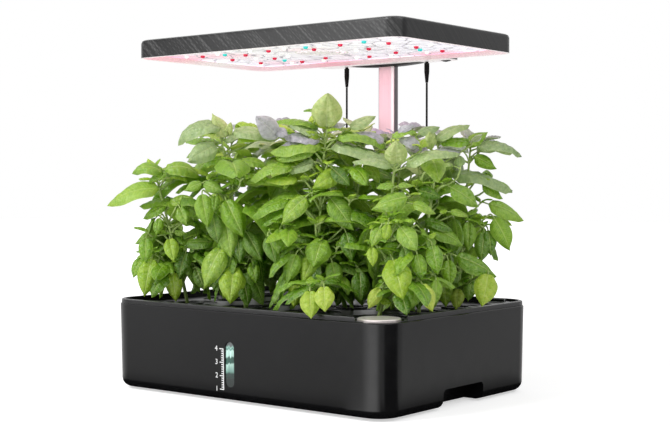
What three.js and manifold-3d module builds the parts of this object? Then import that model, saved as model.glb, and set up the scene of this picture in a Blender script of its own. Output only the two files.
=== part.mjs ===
// Countertop hydroponic garden: a water tank with a lift-out deck of twelve planting baskets,
// a submersible pump, a level gauge, and a grow lamp on a telescopic pole behind the plants.
// Millimetres, +Z up, front at -Y. The origin is on the table, under the middle of the tank.

import * as THREE from "three";
import { mergeVertices } from "three/addons/utils/BufferGeometryUtils.js";
import Module from "manifold-3d";

const wasm = await Module();
wasm.setup();

// Driving dimensions

const fit = {
  gap: 0.3, // between pieces that touch
  loose: 0.4, // round a piece that lifts out by hand
  overrun: 6, // how far a cutting solid runs past the faces that it cuts
};

const foot = { radius: 8, height: 2.6, recess: 0.9, fromSide: 45, fromFront: 38, sides: 10 };

const tank = {
  length: 370,
  depth: 267,
  rimHeight: 92,
  cornerRadius: 28,
  draft: 1.8,
  bottomFillet: 9,
  edgeRound: 0.8,
  wall: 2.6,
  floor: 3,
  innerFillet: 6,
};
tank.bottom = foot.height - foot.recess + fit.gap;
tank.halfLength = tank.length / 2;
tank.halfDepth = tank.depth / 2;
tank.cavityFloor = tank.bottom + tank.floor;

const grip = { width: 72, height: 20.5, depth: 25, lipRadius: 5 };

const deck = {
  rise: 4.8, // rim above the tank's edge
  rimInset: 1.2,
  rimRound: 1.2,
  trayWall: 2.2,
  trayDepth: 6.8,
  plate: 2.6,
  dishRadius: 33,
  dishDepth: 0.9,
  holeRadius: 15.6,
  holeSides: 12,
};
deck.top = tank.rimHeight + deck.rise;
deck.plateTop = deck.top - deck.trayDepth;
deck.plateBottom = deck.plateTop - deck.plate;
deck.dishFloor = deck.plateTop - deck.dishDepth;
deck.trayHalfX = tank.halfLength - tank.wall - fit.loose;
deck.trayHalfY = tank.halfDepth - tank.wall - fit.loose;

const pods = { columns: 4, rows: 3, pitchX: 86, pitchY: 70 };

const basket = {
  depth: 46,
  wall: 1.4,
  clearance: 0.4,
  bottomShare: 0.78,
  lipWidth: 2.9,
  lipHeight: 1.7,
  lipDraw: 0.6,
  slots: 5,
  slotWidth: 6,
  slotBottom: 5,
  slotHeight: 30,
  sides: 10,
};
basket.topRadius = deck.holeRadius * Math.cos(Math.PI / deck.holeSides) - basket.clearance;
basket.bottomRadius = basket.topRadius * basket.bottomShare;
basket.seat = deck.dishFloor + fit.gap;
basket.top = basket.seat + basket.lipHeight;
basket.bottom = basket.seat - basket.depth;

const corner = {
  platformRadius: 23.5,
  platformDepth: 15,
  pocketRadius: 21.4,
  pocketDepth: 12,
  deckClearance: 0.2,
  sides: 24,
};
corner.x = tank.halfLength - tank.cornerRadius;
corner.y = -tank.halfDepth + tank.cornerRadius;
corner.deckClearRadius = tank.cornerRadius + corner.deckClearance;

const button = {
  radius: 21,
  proud: 2.3,
  topThickness: 1.9,
  edgeRound: 0.8,
  skirt: 8.3,
  skirtWall: 1.4,
  stemRadius: 3,
  stemGap: 1.1,
};

const controlBoard = { radius: 20, thickness: 1.6, switchSize: 6, switchHeight: 1.8 };

const rearConsole = { halfWidth: 68, depth: 21.5, topDrop: 0.3, wall: 2.6, backWall: 3.3, baySill: 12 };
rearConsole.frontY = tank.halfDepth - rearConsole.depth;
rearConsole.top = deck.top - rearConsole.topDrop;

const bayCover = { thickness: 1.6, ledge: 1.4, mouthWidth: 5.6, recess: 2.2 };

const pole = {
  sectionWidth: 23.3,
  sectionDepth: 7.5,
  wall: 0.85,
  cornerRadius: 1.6,
  backFromRear: 9.3, // the pole's centre line, in front of the tank's rear face
  sleeveBottom: 15,
  sleeveTop: 138,
  middleBottom: 112,
  middleLength: 140,
  topBottom: 230,
  collarHeight: 6,
  collarWidth: 1,
  pocketDepth: 14,
};
pole.y = tank.halfDepth - pole.backFromRear;

const lamp = {
  length: 353,
  depth: 211,
  thickness: 20,
  topHeight: 377,
  centreY: 2.5,
  cornerRadius: 16,
  topFillet: 4,
  wall: 2.2,
  topPlate: 2.2,
};
lamp.bottom = lamp.topHeight - lamp.thickness;
lamp.backY = lamp.centreY + lamp.depth / 2;

const reflector = { rise: 3.4, lipWidth: 1.6, slopeWidth: 14.5 };

const board = { thickness: 1.6, edgeGap: 1, chip: 3.4, chipHeight: 0.9, chipTaperShare: 0.8 };
board.bottom = lamp.bottom + reflector.rise + 2 * fit.gap;

// Red chips stand in six columns of three, with every second column moved back
const reds = { columns: 6, rows: 3, pitchX: 48, pitchY: 48, shiftX: -4, evenY: -6, oddY: 11 };
// Blue chips, as shares of the lamp's length and depth from its middle
const blueShares = [
  [-0.26, -0.25],
  [-0.232, 0.166],
  [0.074, -0.275],
  [0.295, -0.294],
  [0.297, 0.161],
];
// White chips stand in a finer grid
const whites = { columns: 7, rows: 3, pitchX: 47, pitchY: 62, clearance: 5 };

const fan = {
  openingRadius: 30,
  guardRim: 2.2,
  guardThickness: 1.4,
  guardRings: 3,
  guardBar: 1.4,
  guardSpokes: 5,
  rotorRadius: 26,
  hubRadius: 9,
  rotorRoom: 2.7, // between the rotor and the motor's plate
  blades: 7,
  bladeThickness: 1.2,
  bladePitch: 32,
  bladeRoot: 0.8,
  motorRadius: 10.5,
  motorHeight: 2.4,
  shaftRadius: 1.2,
  boreRadius: 1.5,
  bladeClearance: 1,
  ventSlots: 7,
  ventWidth: 3.2,
  ventPitch: 6.6,
  ventEdge: 3,
  sides: 16,
};
fan.rotorBottom = board.bottom + fan.guardThickness + fan.bladeClearance;
fan.motorTop = lamp.topHeight - lamp.topPlate - fit.gap;
fan.rotorHeight = fan.motorTop - fan.motorHeight - fan.rotorRoom - fan.rotorBottom;

const rearHousing = { halfWidth: 92, depth: 24, height: 18.6, cornerRadius: 7, edgeRound: 1.2 };
rearHousing.frontY = lamp.backY + fit.gap;
rearHousing.backY = rearHousing.frontY + rearHousing.depth;

const bracket = { halfWidth: 49, sag: 2.5, frontMargin: 7.6, backMargin: 3, arcSteps: 8 };

const lead = { radius: 1.15, x: 56.5, fromRear: 14, sides: 8 };
lead.y = tank.halfDepth - lead.fromRear;

const plug = {
  radius: 2.85,
  neckRadius: 1.8,
  neckLength: 1.7,
  bodyLength: 9.5,
  taperLength: 12,
  tipRadius: 1.6,
  sides: 12,
};
plug.top = lamp.bottom - fit.gap;
plug.bottom = plug.top - plug.neckLength - plug.bodyLength - plug.taperLength;

const grommet = { flangeRadius: 4.6, flangeHeight: 1.4, bodyRadius: 2.9, bodyLength: 4, sides: 10 };

const rocker = { x: 78.5, y: 123, halfLength: 6.1, halfWidth: 3, apex: 1.5, depth: 3.2, tilt: 6 };
rocker.pocketDepth = rocker.depth + 3;

const inlet = {
  x: 40,
  z: 24,
  bodyRadius: 5.6,
  bodyLength: 9,
  noseRadius: 4.2,
  boreRadius: 3.15,
  boreDepth: 9,
  pinRadius: 1,
  pinShort: 1.5,
  proud: 0.4,
  sides: 12,
};

const driverBoard = {
  centreX: -40,
  width: 34,
  bottom: 26,
  height: 46,
  thickness: 1.6,
  coilSize: 11,
  coilHeight: 7,
  capacitorRadius: 3.6,
  capacitorLength: 6.5,
};

const gauge = {
  x: -9.4,
  width: 12,
  bottom: 15.7,
  top: 62,
  lensRecess: 0.5,
  flange: 3,
  flangeThickness: 1.6,
  bossMargin: 5,
  bossDepth: 1.4,
  channelWall: 1.5,
  channelDepth: 7,
  backSlot: 5,
  lip: 1.5,
  stop: 2,
};
gauge.centreZ = (gauge.bottom + gauge.top) / 2;
gauge.height = gauge.top - gauge.bottom;

const float = { height: 8, edge: 1.2 };

const port = {
  radius: 13,
  wall: 2,
  collarRise: 2,
  tubeLength: 15,
  capOverhang: 1,
  capThickness: 2.4,
  plugDepth: 5,
  plugWall: 1.6,
  tabLength: 20,
  tabWidth: 3,
  tabHeight: 4,
  sides: 16,
};
port.x = tank.halfLength - tank.cornerRadius;
port.y = tank.halfDepth - tank.cornerRadius;

const pump = {
  x: -pods.pitchX,
  y: pods.pitchY / 2,
  width: 44,
  depth: 36,
  height: 28,
  cornerRadius: 5,
  chamberRadius: 11.5,
  chamberDepth: 9,
  magnetRadius: 6,
  magnetDepth: 16,
  vanes: 6,
  vaneThickness: 1.4,
  vaneLength: 7,
  hubRadius: 4,
  barbRadius: 4.2,
  barbBore: 2.6,
  barbLength: 8,
  filterThickness: 3,
  filterSlots: 6,
  filterSlotWidth: 2,
  filterSlotPitch: 5.2,
  filterMargin: 5,
  sides: 16,
};
pump.bottom = tank.cavityFloor + fit.gap;
pump.top = pump.bottom + pump.height;

const hose = { wall: 1.2, endGap: 3.2, sides: 10 };
hose.boreRadius = pump.barbRadius + fit.gap;

const spigot = { length: 8, portWidth: 3, portHeight: 3 };

// Each plant fills its own cell above the deck. Heights are the tips above the table
const plant = {
  cellGap: 0.5,
  sideReach: 1,
  frontReach: 1,
  backLimit: 2,
  canopyBottom: 120,
  stemRadius: 3,
  spongeLength: 30,
  spongeGap: 0.5,
  spongeSink: 1.5,
  sides: 8,
  stemSides: 6,
};
const plantTips = [
  [262, 284, 290, 268],
  [280, 300, 312, 284],
  [276, 296, 300, 280],
];
// A plant's outline from below to its tip: share of its half width, share of its height
const canopyShares = [
  [0, 0],
  [0.7, 0.07],
  [1, 0.36],
  [0.92, 0.68],
  [0.5, 0.92],
  [0, 1],
];

// Materials

function material(color, roughness, metalness = 0, opacity = 1) {
  return new THREE.MeshStandardMaterial({
    color,
    roughness,
    metalness,
    opacity,
    transparent: opacity < 1,
  });
}

const materials = {
  shell: material(0x2f3032, 0.42),
  deckPlastic: material(0x2a2b2e, 0.5),
  basketPlastic: material(0x1f2022, 0.6),
  silver: material(0xb9b5b4, 0.35, 0.6),
  pole: material(0xc9bfc4, 0.3, 0.9),
  blackTrim: material(0x141415, 0.5),
  lampShell: material(0x3a3b3d, 0.45),
  whitePlastic: material(0xeceaea, 0.45),
  boardWhite: material(0xf3f1f0, 0.55),
  clear: material(0xbfd4d2, 0.1, 0, 0.4),
  floatTeal: material(0x3f8f8c, 0.4),
  rubber: material(0x101010, 0.8),
  circuit: material(0x1d4a2c, 0.6),
  pumpPlastic: material(0x25272a, 0.55),
  hoseClear: material(0xd8dcd8, 0.3, 0, 0.6),
  steel: material(0xb8bbc0, 0.25, 1),
  foliage: material(0x6f9c3c, 0.6),
};

// Solids from three.js geometries, joined and cut

const mergeTolerance = 1e-4;
const quarter = Math.PI / 2;
const quadrants = [
  [1, 1],
  [-1, 1],
  [-1, -1],
  [1, -1],
];
// Facets in a quarter circle
const outerCornerSteps = 6;
const innerCornerSteps = 4;
const coarseCornerSteps = 2;

function solidOf(geometry) {
  const bare = geometry.clone();
  bare.deleteAttribute("normal");
  bare.deleteAttribute("uv");
  const merged = mergeVertices(bare, mergeTolerance);
  const places = merged.getAttribute("position").array;
  const index = merged.getIndex().array;
  const triangles = [];
  let volume = 0;
  const [a, b, c] = [new THREE.Vector3(), new THREE.Vector3(), new THREE.Vector3()];
  for (let i = 0; i < index.length; i += 3) {
    const [p, q, r] = [index[i], index[i + 1], index[i + 2]];
    if (p === q || q === r || r === p) continue;
    triangles.push(p, q, r);
    a.fromArray(places, 3 * p);
    b.fromArray(places, 3 * q);
    c.fromArray(places, 3 * r);
    volume += a.dot(b.cross(c));
  }
  if (volume < 0) triangles.reverse();
  const mesh = new wasm.Mesh({
    numProp: 3,
    vertProperties: Float32Array.from(places),
    triVerts: Uint32Array.from(triangles),
  });
  return new wasm.Manifold(mesh);
}

function geometryOf(solid) {
  const mesh = solid.getMesh();
  const geometry = new THREE.BufferGeometry();
  geometry.setAttribute("position", new THREE.BufferAttribute(Float32Array.from(mesh.vertProperties), 3));
  geometry.setIndex(new THREE.BufferAttribute(Uint32Array.from(mesh.triVerts), 1));
  geometry.computeVertexNormals();
  return geometry;
}

function join(...solids) {
  return solids.reduce((whole, solid) => whole.add(solid));
}

function cut(solid, ...cutters) {
  return cutters.reduce((left, cutter) => left.subtract(cutter), solid);
}

// A box from its lowest to its highest corner
function boxSolid(low, high) {
  const size = high.map((value, i) => value - low[i]);
  const geometry = new THREE.BoxGeometry(...size);
  geometry.translate(...low.map((value, i) => value + size[i] / 2));
  return solidOf(geometry);
}

// A flat outline drawn in X and Y, raised from one height to another
function prism(shape, bottom, top, curveSegments = innerCornerSteps) {
  const depth = top - bottom;
  const geometry = new THREE.ExtrudeGeometry(shape, { depth, bevelEnabled: false, curveSegments });
  geometry.translate(0, 0, bottom);
  return solidOf(geometry);
}

// An outline drawn in X and Z, run along Y
function prismAlongY(shape, front, back, curveSegments = innerCornerSteps) {
  const depth = back - front;
  const geometry = new THREE.ExtrudeGeometry(shape, { depth, bevelEnabled: false, curveSegments });
  geometry.rotateX(quarter);
  geometry.translate(0, back, 0);
  return solidOf(geometry);
}

// A profile of [radius, height] turned about an upright axis through x, y
function turned(profile, sides, x = 0, y = 0) {
  const points = profile.map(([radius, height]) => new THREE.Vector2(radius, height));
  const geometry = new THREE.LatheGeometry(points, sides);
  geometry.rotateX(quarter);
  geometry.translate(x, y, 0);
  return solidOf(geometry);
}

// A profile of [radius, y] turned about an axis that runs along Y
function turnedAlongY(profile, sides, x, z) {
  const points = profile.map(([radius, along]) => new THREE.Vector2(radius, along));
  const geometry = new THREE.LatheGeometry(points, sides);
  geometry.translate(x, 0, z);
  return solidOf(geometry);
}

function cylinder(radius, bottom, top, sides, x = 0, y = 0) {
  return turned(
    [
      [0, bottom],
      [radius, bottom],
      [radius, top],
      [0, top],
    ],
    sides,
    x,
    y,
  );
}

function tube(radius, bore, bottom, top, sides, x = 0, y = 0) {
  return turned(
    [
      [bore, bottom],
      [radius, bottom],
      [radius, top],
      [bore, top],
      [bore, bottom],
    ],
    sides,
    x,
    y,
  );
}

function roundedShape(halfX, halfY, radius, centreX = 0, centreY = 0) {
  const shape = new THREE.Shape();
  quadrants.forEach(([signX, signY], i) => {
    const x = centreX + signX * (halfX - radius);
    const y = centreY + signY * (halfY - radius);
    shape.absarc(x, y, radius, i * quarter, (i + 1) * quarter, false);
  });
  shape.closePath();
  return shape;
}

function roundedRing({ halfX, halfY, radius, z, centreY = 0 }, cornerSteps) {
  const ring = [];
  quadrants.forEach(([signX, signY], i) => {
    for (let step = 0; step <= cornerSteps; step += 1) {
      const angle = (i + step / cornerSteps) * quarter;
      const x = signX * (halfX - radius) + radius * Math.cos(angle);
      const y = centreY + signY * (halfY - radius) + radius * Math.sin(angle);
      ring.push([x, y, z]);
    }
  });
  return ring;
}

// A closed body through rounded rectangles of growing height
function loft(sections, cornerSteps = outerCornerSteps) {
  const rings = sections.map((section) => roundedRing(section, cornerSteps));
  const count = rings[0].length;
  const index = [];
  for (let level = 0; level + 1 < rings.length; level += 1) {
    for (let i = 0; i < count; i += 1) {
      const next = (i + 1) % count;
      const [a, b] = [level * count + i, level * count + next];
      index.push(a, b, b + count, a, b + count, a + count);
    }
  }
  const last = (rings.length - 1) * count;
  for (let i = 1; i + 1 < count; i += 1) {
    index.push(0, i + 1, i);
    index.push(last, last + i, last + i + 1);
  }
  const geometry = new THREE.BufferGeometry();
  geometry.setAttribute("position", new THREE.Float32BufferAttribute(rings.flat(2), 3));
  geometry.setIndex(index);
  return solidOf(geometry);
}

// The object as a group of named meshes

const garden = new THREE.Group();

function addPart(name, solid, look, place = [0, 0, 0]) {
  const mesh = new THREE.Mesh(geometryOf(solid), look.clone());
  mesh.name = name;
  mesh.position.set(...place);
  garden.add(mesh);
  return mesh;
}

// Tank

function draftAt(z) {
  return (tank.draft * (tank.rimHeight - z)) / (tank.rimHeight - tank.bottom);
}

function tankSection(z, inset, radiusInset = inset) {
  const drawnIn = draftAt(z) + inset;
  return {
    halfX: tank.halfLength - drawnIn,
    halfY: tank.halfDepth - drawnIn,
    radius: tank.cornerRadius - draftAt(z) - radiusInset,
    z,
  };
}

// Sections of a round bottom edge that meets an upright wall
function filletSections(radius, bottom, inset, steps) {
  const sections = [];
  for (let i = 0; i <= steps; i += 1) {
    const angle = (i / steps) * quarter;
    const z = bottom + radius * (1 - Math.cos(angle));
    sections.push(tankSection(z, inset + radius * (1 - Math.sin(angle))));
  }
  return sections;
}

function deckRimSections(bottom) {
  const rim = (z, inset) => ({
    halfX: tank.halfLength - inset,
    halfY: tank.halfDepth - inset,
    radius: tank.cornerRadius - inset,
    z,
  });
  const { rimInset, rimRound, top } = deck;
  const bevelShare = 0.3;
  return [
    rim(bottom, rimInset),
    rim(top - rimRound, rimInset),
    rim(top - rimRound * bevelShare, rimInset + rimRound * bevelShare),
    rim(top, rimInset + rimRound),
  ];
}

function tankEnvelope() {
  return loft([
    ...filletSections(tank.bottomFillet, tank.bottom, 0, innerCornerSteps),
    tankSection(tank.rimHeight - tank.edgeRound, 0),
    tankSection(tank.rimHeight, tank.edgeRound),
  ]);
}

function gripBlock(side, grow) {
  const inner = tank.halfLength - grip.depth - grow;
  const shape = roundedShape(
    grip.width / 2 + grow,
    grip.height + grow,
    grip.lipRadius + grow,
  );
  const geometry = new THREE.ExtrudeGeometry(shape, {
    depth: grip.depth + grow + fit.overrun,
    bevelEnabled: false,
    curveSegments: innerCornerSteps,
  });
  geometry.rotateX(quarter);
  geometry.rotateZ(quarter);
  geometry.translate(inner, 0, 0);
  if (side < 0) geometry.rotateZ(Math.PI);
  return solidOf(geometry);
}

function makeTank() {
  const envelope = tankEnvelope();
  const cavity = loft(
    [
      ...filletSections(tank.innerFillet, tank.cavityFloor, tank.wall, coarseCornerSteps),
      tankSection(tank.rimHeight + fit.overrun, tank.wall),
    ],
    innerCornerSteps,
  );
  let shell = cut(envelope, cavity);
  const { overrun } = fit;

  const gripWalls = join(gripBlock(1, tank.wall), gripBlock(-1, tank.wall)).intersect(envelope);
  shell = cut(join(shell, gripWalls), gripBlock(1, 0), gripBlock(-1, 0));

  const platformBottom = tank.rimHeight - corner.platformDepth;
  const platform = join(
    cylinder(corner.platformRadius, platformBottom, tank.rimHeight, corner.sides, corner.x, corner.y),
    boxSolid(
      [corner.x, -tank.halfDepth, platformBottom],
      [tank.halfLength, corner.y, tank.rimHeight],
    ),
  ).intersect(envelope);
  const pocketBottom = tank.rimHeight - corner.pocketDepth;
  const pocket = cylinder(
    corner.pocketRadius, pocketBottom, tank.rimHeight + overrun, corner.sides, corner.x, corner.y,
  );
  shell = cut(join(shell, platform), pocket);

  const rim = loft(deckRimSections(tank.rimHeight - deck.rise));
  const consoleBlock = boxSolid(
    [-rearConsole.halfWidth, rearConsole.frontY, tank.bottom],
    [rearConsole.halfWidth, tank.halfDepth, rearConsole.top],
  ).intersect(join(envelope, rim));
  shell = cut(join(shell, consoleBlock), bayHollow(), poleSocket(), ...leadHoles(), inletHole());

  const boss = gauge.bossMargin + gauge.flange;
  const gaugeBoss = boxSolid(
    [gauge.x - gauge.width / 2 - boss, -tank.halfDepth, gauge.bottom - boss],
    [gauge.x + gauge.width / 2 + boss, gaugeSeatY(), gauge.top + boss],
  ).intersect(envelope);
  const inFront = -tank.halfDepth - overrun;
  const windowHole = stadiumAlongY(gauge.width, gauge.height, inFront, gaugeSeatY() + overrun);
  shell = cut(join(shell, gaugeBoss), windowHole);

  return cut(shell, ...footPlaces().map(([x, y]) => {
    const radius = foot.radius + fit.gap;
    return cylinder(radius, -overrun, tank.bottom + foot.recess, foot.sides, x, y);
  }));
}

function footPlaces() {
  const x = tank.halfLength - foot.fromSide;
  const y = tank.halfDepth - foot.fromFront;
  return [
    [x, -y],
    [-x, -y],
    [x, y],
    [-x, y],
  ];
}

// Rear console: a dry bay on each side of the pole's socket

function bayHollow() {
  const innerHalf = rearConsole.halfWidth - rearConsole.wall;
  const front = rearConsole.frontY + rearConsole.wall;
  const back = tank.halfDepth - tank.draft - rearConsole.backWall;
  const bay = boxSolid(
    [-innerHalf, front, tank.bottom + rearConsole.baySill],
    [innerHalf, back, rearConsole.top - rearConsole.wall],
  );
  const mouth = boxSolid(
    [-innerHalf, front, -fit.overrun],
    [innerHalf, front + bayCover.mouthWidth, tank.bottom + rearConsole.baySill + fit.gap],
  );
  const [coverLow, coverHigh] = bayCoverCorners(fit.gap);
  const coverSeat = boxSolid(
    [coverLow[0], coverLow[1], -fit.overrun],
    [coverHigh[0], coverHigh[1], tank.bottom + bayCover.recess],
  );
  const socketHalf = sleeveOuter().halfX + fit.gap + rearConsole.wall;
  const socketBlock = boxSolid(
    [-socketHalf, rearConsole.frontY, -fit.overrun],
    [socketHalf, tank.halfDepth, deck.top],
  );
  return join(cut(join(bay, mouth), socketBlock), coverSeat);
}

function bayCoverCorners(grow) {
  const half = rearConsole.halfWidth - rearConsole.wall + bayCover.ledge - fit.gap + grow;
  const front = rearConsole.frontY + rearConsole.wall - bayCover.ledge + fit.gap - grow;
  const back = rearConsole.frontY + rearConsole.wall + bayCover.mouthWidth + bayCover.ledge - fit.gap + grow;
  return [
    [-half, front, tank.bottom + fit.gap],
    [half, back, tank.bottom + fit.gap + bayCover.thickness],
  ];
}

function sleeveOuter() {
  const grow = 2 * (fit.gap + pole.wall);
  return { halfX: pole.sectionWidth / 2 + grow, halfY: pole.sectionDepth / 2 + grow };
}

function poleSection(grow, bottom, top) {
  const shape = roundedShape(
    pole.sectionWidth / 2 + grow,
    pole.sectionDepth / 2 + grow,
    pole.cornerRadius + grow,
    0,
    pole.y,
  );
  return prism(shape, bottom, top, coarseCornerSteps);
}

function poleSocket() {
  const grow = 2 * (fit.gap + pole.wall) + fit.gap;
  return poleSection(grow, pole.sleeveBottom - fit.gap, deck.top + fit.overrun);
}

function leadHoles() {
  return [-1, 1].map((side) => {
    const radius = grommet.bodyRadius + fit.gap;
    const bottom = rearConsole.top - rearConsole.wall - fit.gap;
    return cylinder(radius, bottom, deck.top + fit.overrun, grommet.sides, side * lead.x, lead.y);
  });
}

function inletHole() {
  const back = tank.halfDepth + fit.overrun;
  const front = tank.halfDepth - tank.draft - rearConsole.backWall - fit.gap;
  const radius = inlet.noseRadius + fit.gap;
  const profile = [
    [0, front],
    [radius, front],
    [radius, back],
    [0, back],
  ];
  return turnedAlongY(profile, inlet.sides, inlet.x, inlet.z);
}

// Deck

function podPlaces() {
  const places = [];
  for (let row = 0; row < pods.rows; row += 1) {
    for (let column = 0; column < pods.columns; column += 1) {
      const x = (column - (pods.columns - 1) / 2) * pods.pitchX;
      const y = (row - (pods.rows - 1) / 2) * pods.pitchY;
      places.push({ x, y, row, column });
    }
  }
  return places;
}

function makeDeck() {
  const { overrun } = fit;
  const rimBottom = tank.rimHeight + fit.gap;
  const traySection = (inset, z) => ({
    halfX: deck.trayHalfX - inset,
    halfY: deck.trayHalfY - inset,
    radius: tank.cornerRadius - tank.wall - fit.loose - inset,
    z,
  });
  const cornerCut = cylinder(
    corner.deckClearRadius, rimBottom - fit.gap, deck.top + overrun, corner.sides, corner.x, corner.y,
  );
  const rim = cut(loft(deckRimSections(rimBottom)), cornerCut);
  const trayTop = rimBottom + fit.gap;
  const trayBottomInset = draftAt(deck.plateBottom);
  const tray = loft(
    [traySection(trayBottomInset, deck.plateBottom), traySection(trayBottomInset, trayTop)],
    innerCornerSteps,
  );

  const seatRadius = basket.topRadius + basket.lipWidth + basket.clearance;
  const seats = podPlaces().map(({ x, y }) => cylinder(
    seatRadius, deck.dishFloor, trayTop + overrun, deck.holeSides, x, y,
  ));
  const platformWall = cut(
    cylinder(
      corner.platformRadius + fit.loose + deck.trayWall, 0, trayTop, corner.sides, corner.x, corner.y,
    ),
    ...seats,
  );
  const consoleSurround = boxSolid(
    [-rearConsole.halfWidth - fit.loose - deck.trayWall, rearConsole.frontY - fit.loose - deck.trayWall, 0],
    [rearConsole.halfWidth + fit.loose + deck.trayWall, tank.halfDepth, deck.top + overrun],
  );
  const hollowInset = trayBottomInset + deck.trayWall;
  const hollow = cut(
    loft(
      [traySection(hollowInset, deck.plateTop), traySection(hollowInset, deck.top + overrun)],
      innerCornerSteps,
    ),
    platformWall,
    consoleSurround,
  );
  let body = cut(join(rim, tray), hollow);

  const dishes = [];
  const holes = [];
  for (const { x, y } of podPlaces()) {
    dishes.push(cylinder(deck.dishRadius, deck.dishFloor, deck.top, deck.holeSides, x, y));
    holes.push(cylinder(deck.holeRadius, 0, deck.top, deck.holeSides, x, y));
  }
  body = cut(body, cut(join(...dishes), platformWall, consoleSurround));

  const portTop = deck.plateTop + port.collarRise;
  const portBottom = deck.plateBottom - port.tubeLength;
  const portTube = cylinder(port.radius + port.wall, portBottom, portTop, port.sides, port.x, port.y);
  const portBore = cylinder(port.radius, portBottom - overrun, deck.top, port.sides, port.x, port.y);

  const spigotBottom = deck.plateBottom - spigot.length;
  const nozzle = cylinder(pump.barbRadius, spigotBottom, deck.plateTop - fit.gap, hose.sides, pump.x, pump.y);
  const nozzleBore = cylinder(pump.barbBore, 0, deck.plateBottom, hose.sides, pump.x, pump.y);
  const nozzlePort = boxSolid(
    [pump.x, pump.y - spigot.portWidth / 2, deck.plateBottom - spigot.portHeight],
    [pump.x + pump.barbRadius + overrun, pump.y + spigot.portWidth / 2, deck.plateBottom],
  );

  const platformClear = join(
    cylinder(corner.platformRadius + fit.loose, 0, deck.top, corner.sides, corner.x, corner.y),
    boxSolid(
      [corner.x - fit.loose, -tank.halfDepth, 0],
      [tank.halfLength, corner.y + fit.loose, deck.top],
    ),
  );
  const consoleClear = boxSolid(
    [-rearConsole.halfWidth - fit.loose, rearConsole.frontY - fit.loose, 0],
    [rearConsole.halfWidth + fit.loose, tank.halfDepth + overrun, deck.top + overrun],
  );
  body = cut(join(body, portTube, nozzle), portBore, nozzleBore, nozzlePort, ...holes);
  return cut(body, platformClear, consoleClear);
}

// Planting baskets

function makeBasket() {
  const { topRadius, bottomRadius, wall, lipWidth, lipDraw, seat, top, bottom } = basket;
  const lip = topRadius + lipWidth;
  const shell = turned(
    [
      [0, bottom],
      [bottomRadius, bottom],
      [topRadius, seat],
      [lip, seat],
      [lip - lipDraw, top],
      [topRadius - wall, top],
      [bottomRadius - wall, bottom + wall],
      [0, bottom + wall],
    ],
    basket.sides,
  );
  const slots = [];
  for (let i = 0; i < basket.slots; i += 1) {
    const slot = new THREE.BoxGeometry(lip, basket.slotWidth, basket.slotHeight);
    slot.translate(lip / 2, 0, bottom + basket.slotBottom + basket.slotHeight / 2);
    slot.rotateZ((i / basket.slots) * 2 * Math.PI);
    slots.push(solidOf(slot));
  }
  return cut(shell, ...slots);
}

// Plants: the sponge in the basket, the stem and the foliage's outer form

function plantCell({ x, y, row, column }) {
  const halfPitchX = pods.pitchX / 2;
  const halfPitchY = pods.pitchY / 2;
  const outerX = tank.halfLength - plant.sideReach;
  const lowX = column === 0 ? -outerX : x - halfPitchX;
  const highX = column === pods.columns - 1 ? outerX : x + halfPitchX;
  const lowY = row === 0 ? -tank.halfDepth + plant.frontReach : y - halfPitchY;
  const backLimit = lead.y - lead.radius - plant.backLimit;
  const highY = row === pods.rows - 1 ? backLimit : y + halfPitchY;
  return {
    centreX: (lowX + highX) / 2,
    centreY: (lowY + highY) / 2,
    halfX: (highX - lowX) / 2 - plant.cellGap,
    halfY: (highY - lowY) / 2 - plant.cellGap,
  };
}

function makePlant(place) {
  const cell = plantCell(place);
  const tip = plantTips[place.row][place.column];
  const height = tip - plant.canopyBottom;
  const points = canopyShares.map(([radius, z]) => new THREE.Vector2(radius, z));
  const canopyForm = new THREE.LatheGeometry(points, plant.sides);
  canopyForm.rotateX(quarter);
  canopyForm.scale(cell.halfX, cell.halfY, height);
  canopyForm.translate(cell.centreX, cell.centreY, plant.canopyBottom);

  const flatShare = Math.cos(Math.PI / basket.sides);
  const innerRadius = (basket.topRadius - basket.wall) * flatShare - plant.spongeGap;
  const slope = (basket.topRadius - basket.bottomRadius) / basket.depth;
  const spongeTop = basket.top - plant.spongeSink;
  const spongeBottom = spongeTop - plant.spongeLength;
  const sponge = turned(
    [
      [0, spongeBottom],
      [innerRadius - slope * plant.spongeLength, spongeBottom],
      [innerRadius, spongeTop],
      [0, spongeTop],
    ],
    plant.sides,
    place.x,
    place.y,
  );
  const stemTop = plant.canopyBottom + height / 2;
  const stem = cylinder(plant.stemRadius, spongeBottom, stemTop, plant.stemSides, place.x, place.y);
  return join(solidOf(canopyForm), sponge, stem);
}

// Control button in the front right corner

function makeButton() {
  const top = tank.rimHeight + button.proud;
  const under = top - button.topThickness;
  const skirtBottom = top - button.skirt;
  const boardTop = tank.rimHeight - corner.pocketDepth + fit.gap + controlBoard.thickness;
  const stemBottom = boardTop + controlBoard.switchHeight + button.stemGap;
  return turned(
    [
      [0, stemBottom],
      [button.stemRadius, stemBottom],
      [button.stemRadius, under],
      [button.radius - button.skirtWall, under],
      [button.radius - button.skirtWall, skirtBottom],
      [button.radius, skirtBottom],
      [button.radius, top - button.edgeRound],
      [button.radius - button.edgeRound, top],
      [0, top],
    ],
    corner.sides,
  );
}

function makeControlBoard() {
  const bottom = tank.rimHeight - corner.pocketDepth + fit.gap;
  const top = bottom + controlBoard.thickness;
  const half = controlBoard.switchSize / 2;
  const plate = cylinder(controlBoard.radius, bottom, top, corner.sides / 2);
  const keySwitch = boxSolid([-half, -half, bottom], [half, half, top + controlBoard.switchHeight]);
  return join(plate, keySwitch);
}

// Level gauge in the front wall

function stadiumAlongY(width, height, front, back, centreZ = gauge.centreZ) {
  const shape = roundedShape(width / 2, height / 2, width / 2 - mergeTolerance, gauge.x, centreZ);
  return prismAlongY(shape, front, back, innerCornerSteps);
}

function gaugeSeatY() {
  return -tank.halfDepth + draftAt(gauge.centreZ) + tank.wall + gauge.bossDepth;
}

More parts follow.
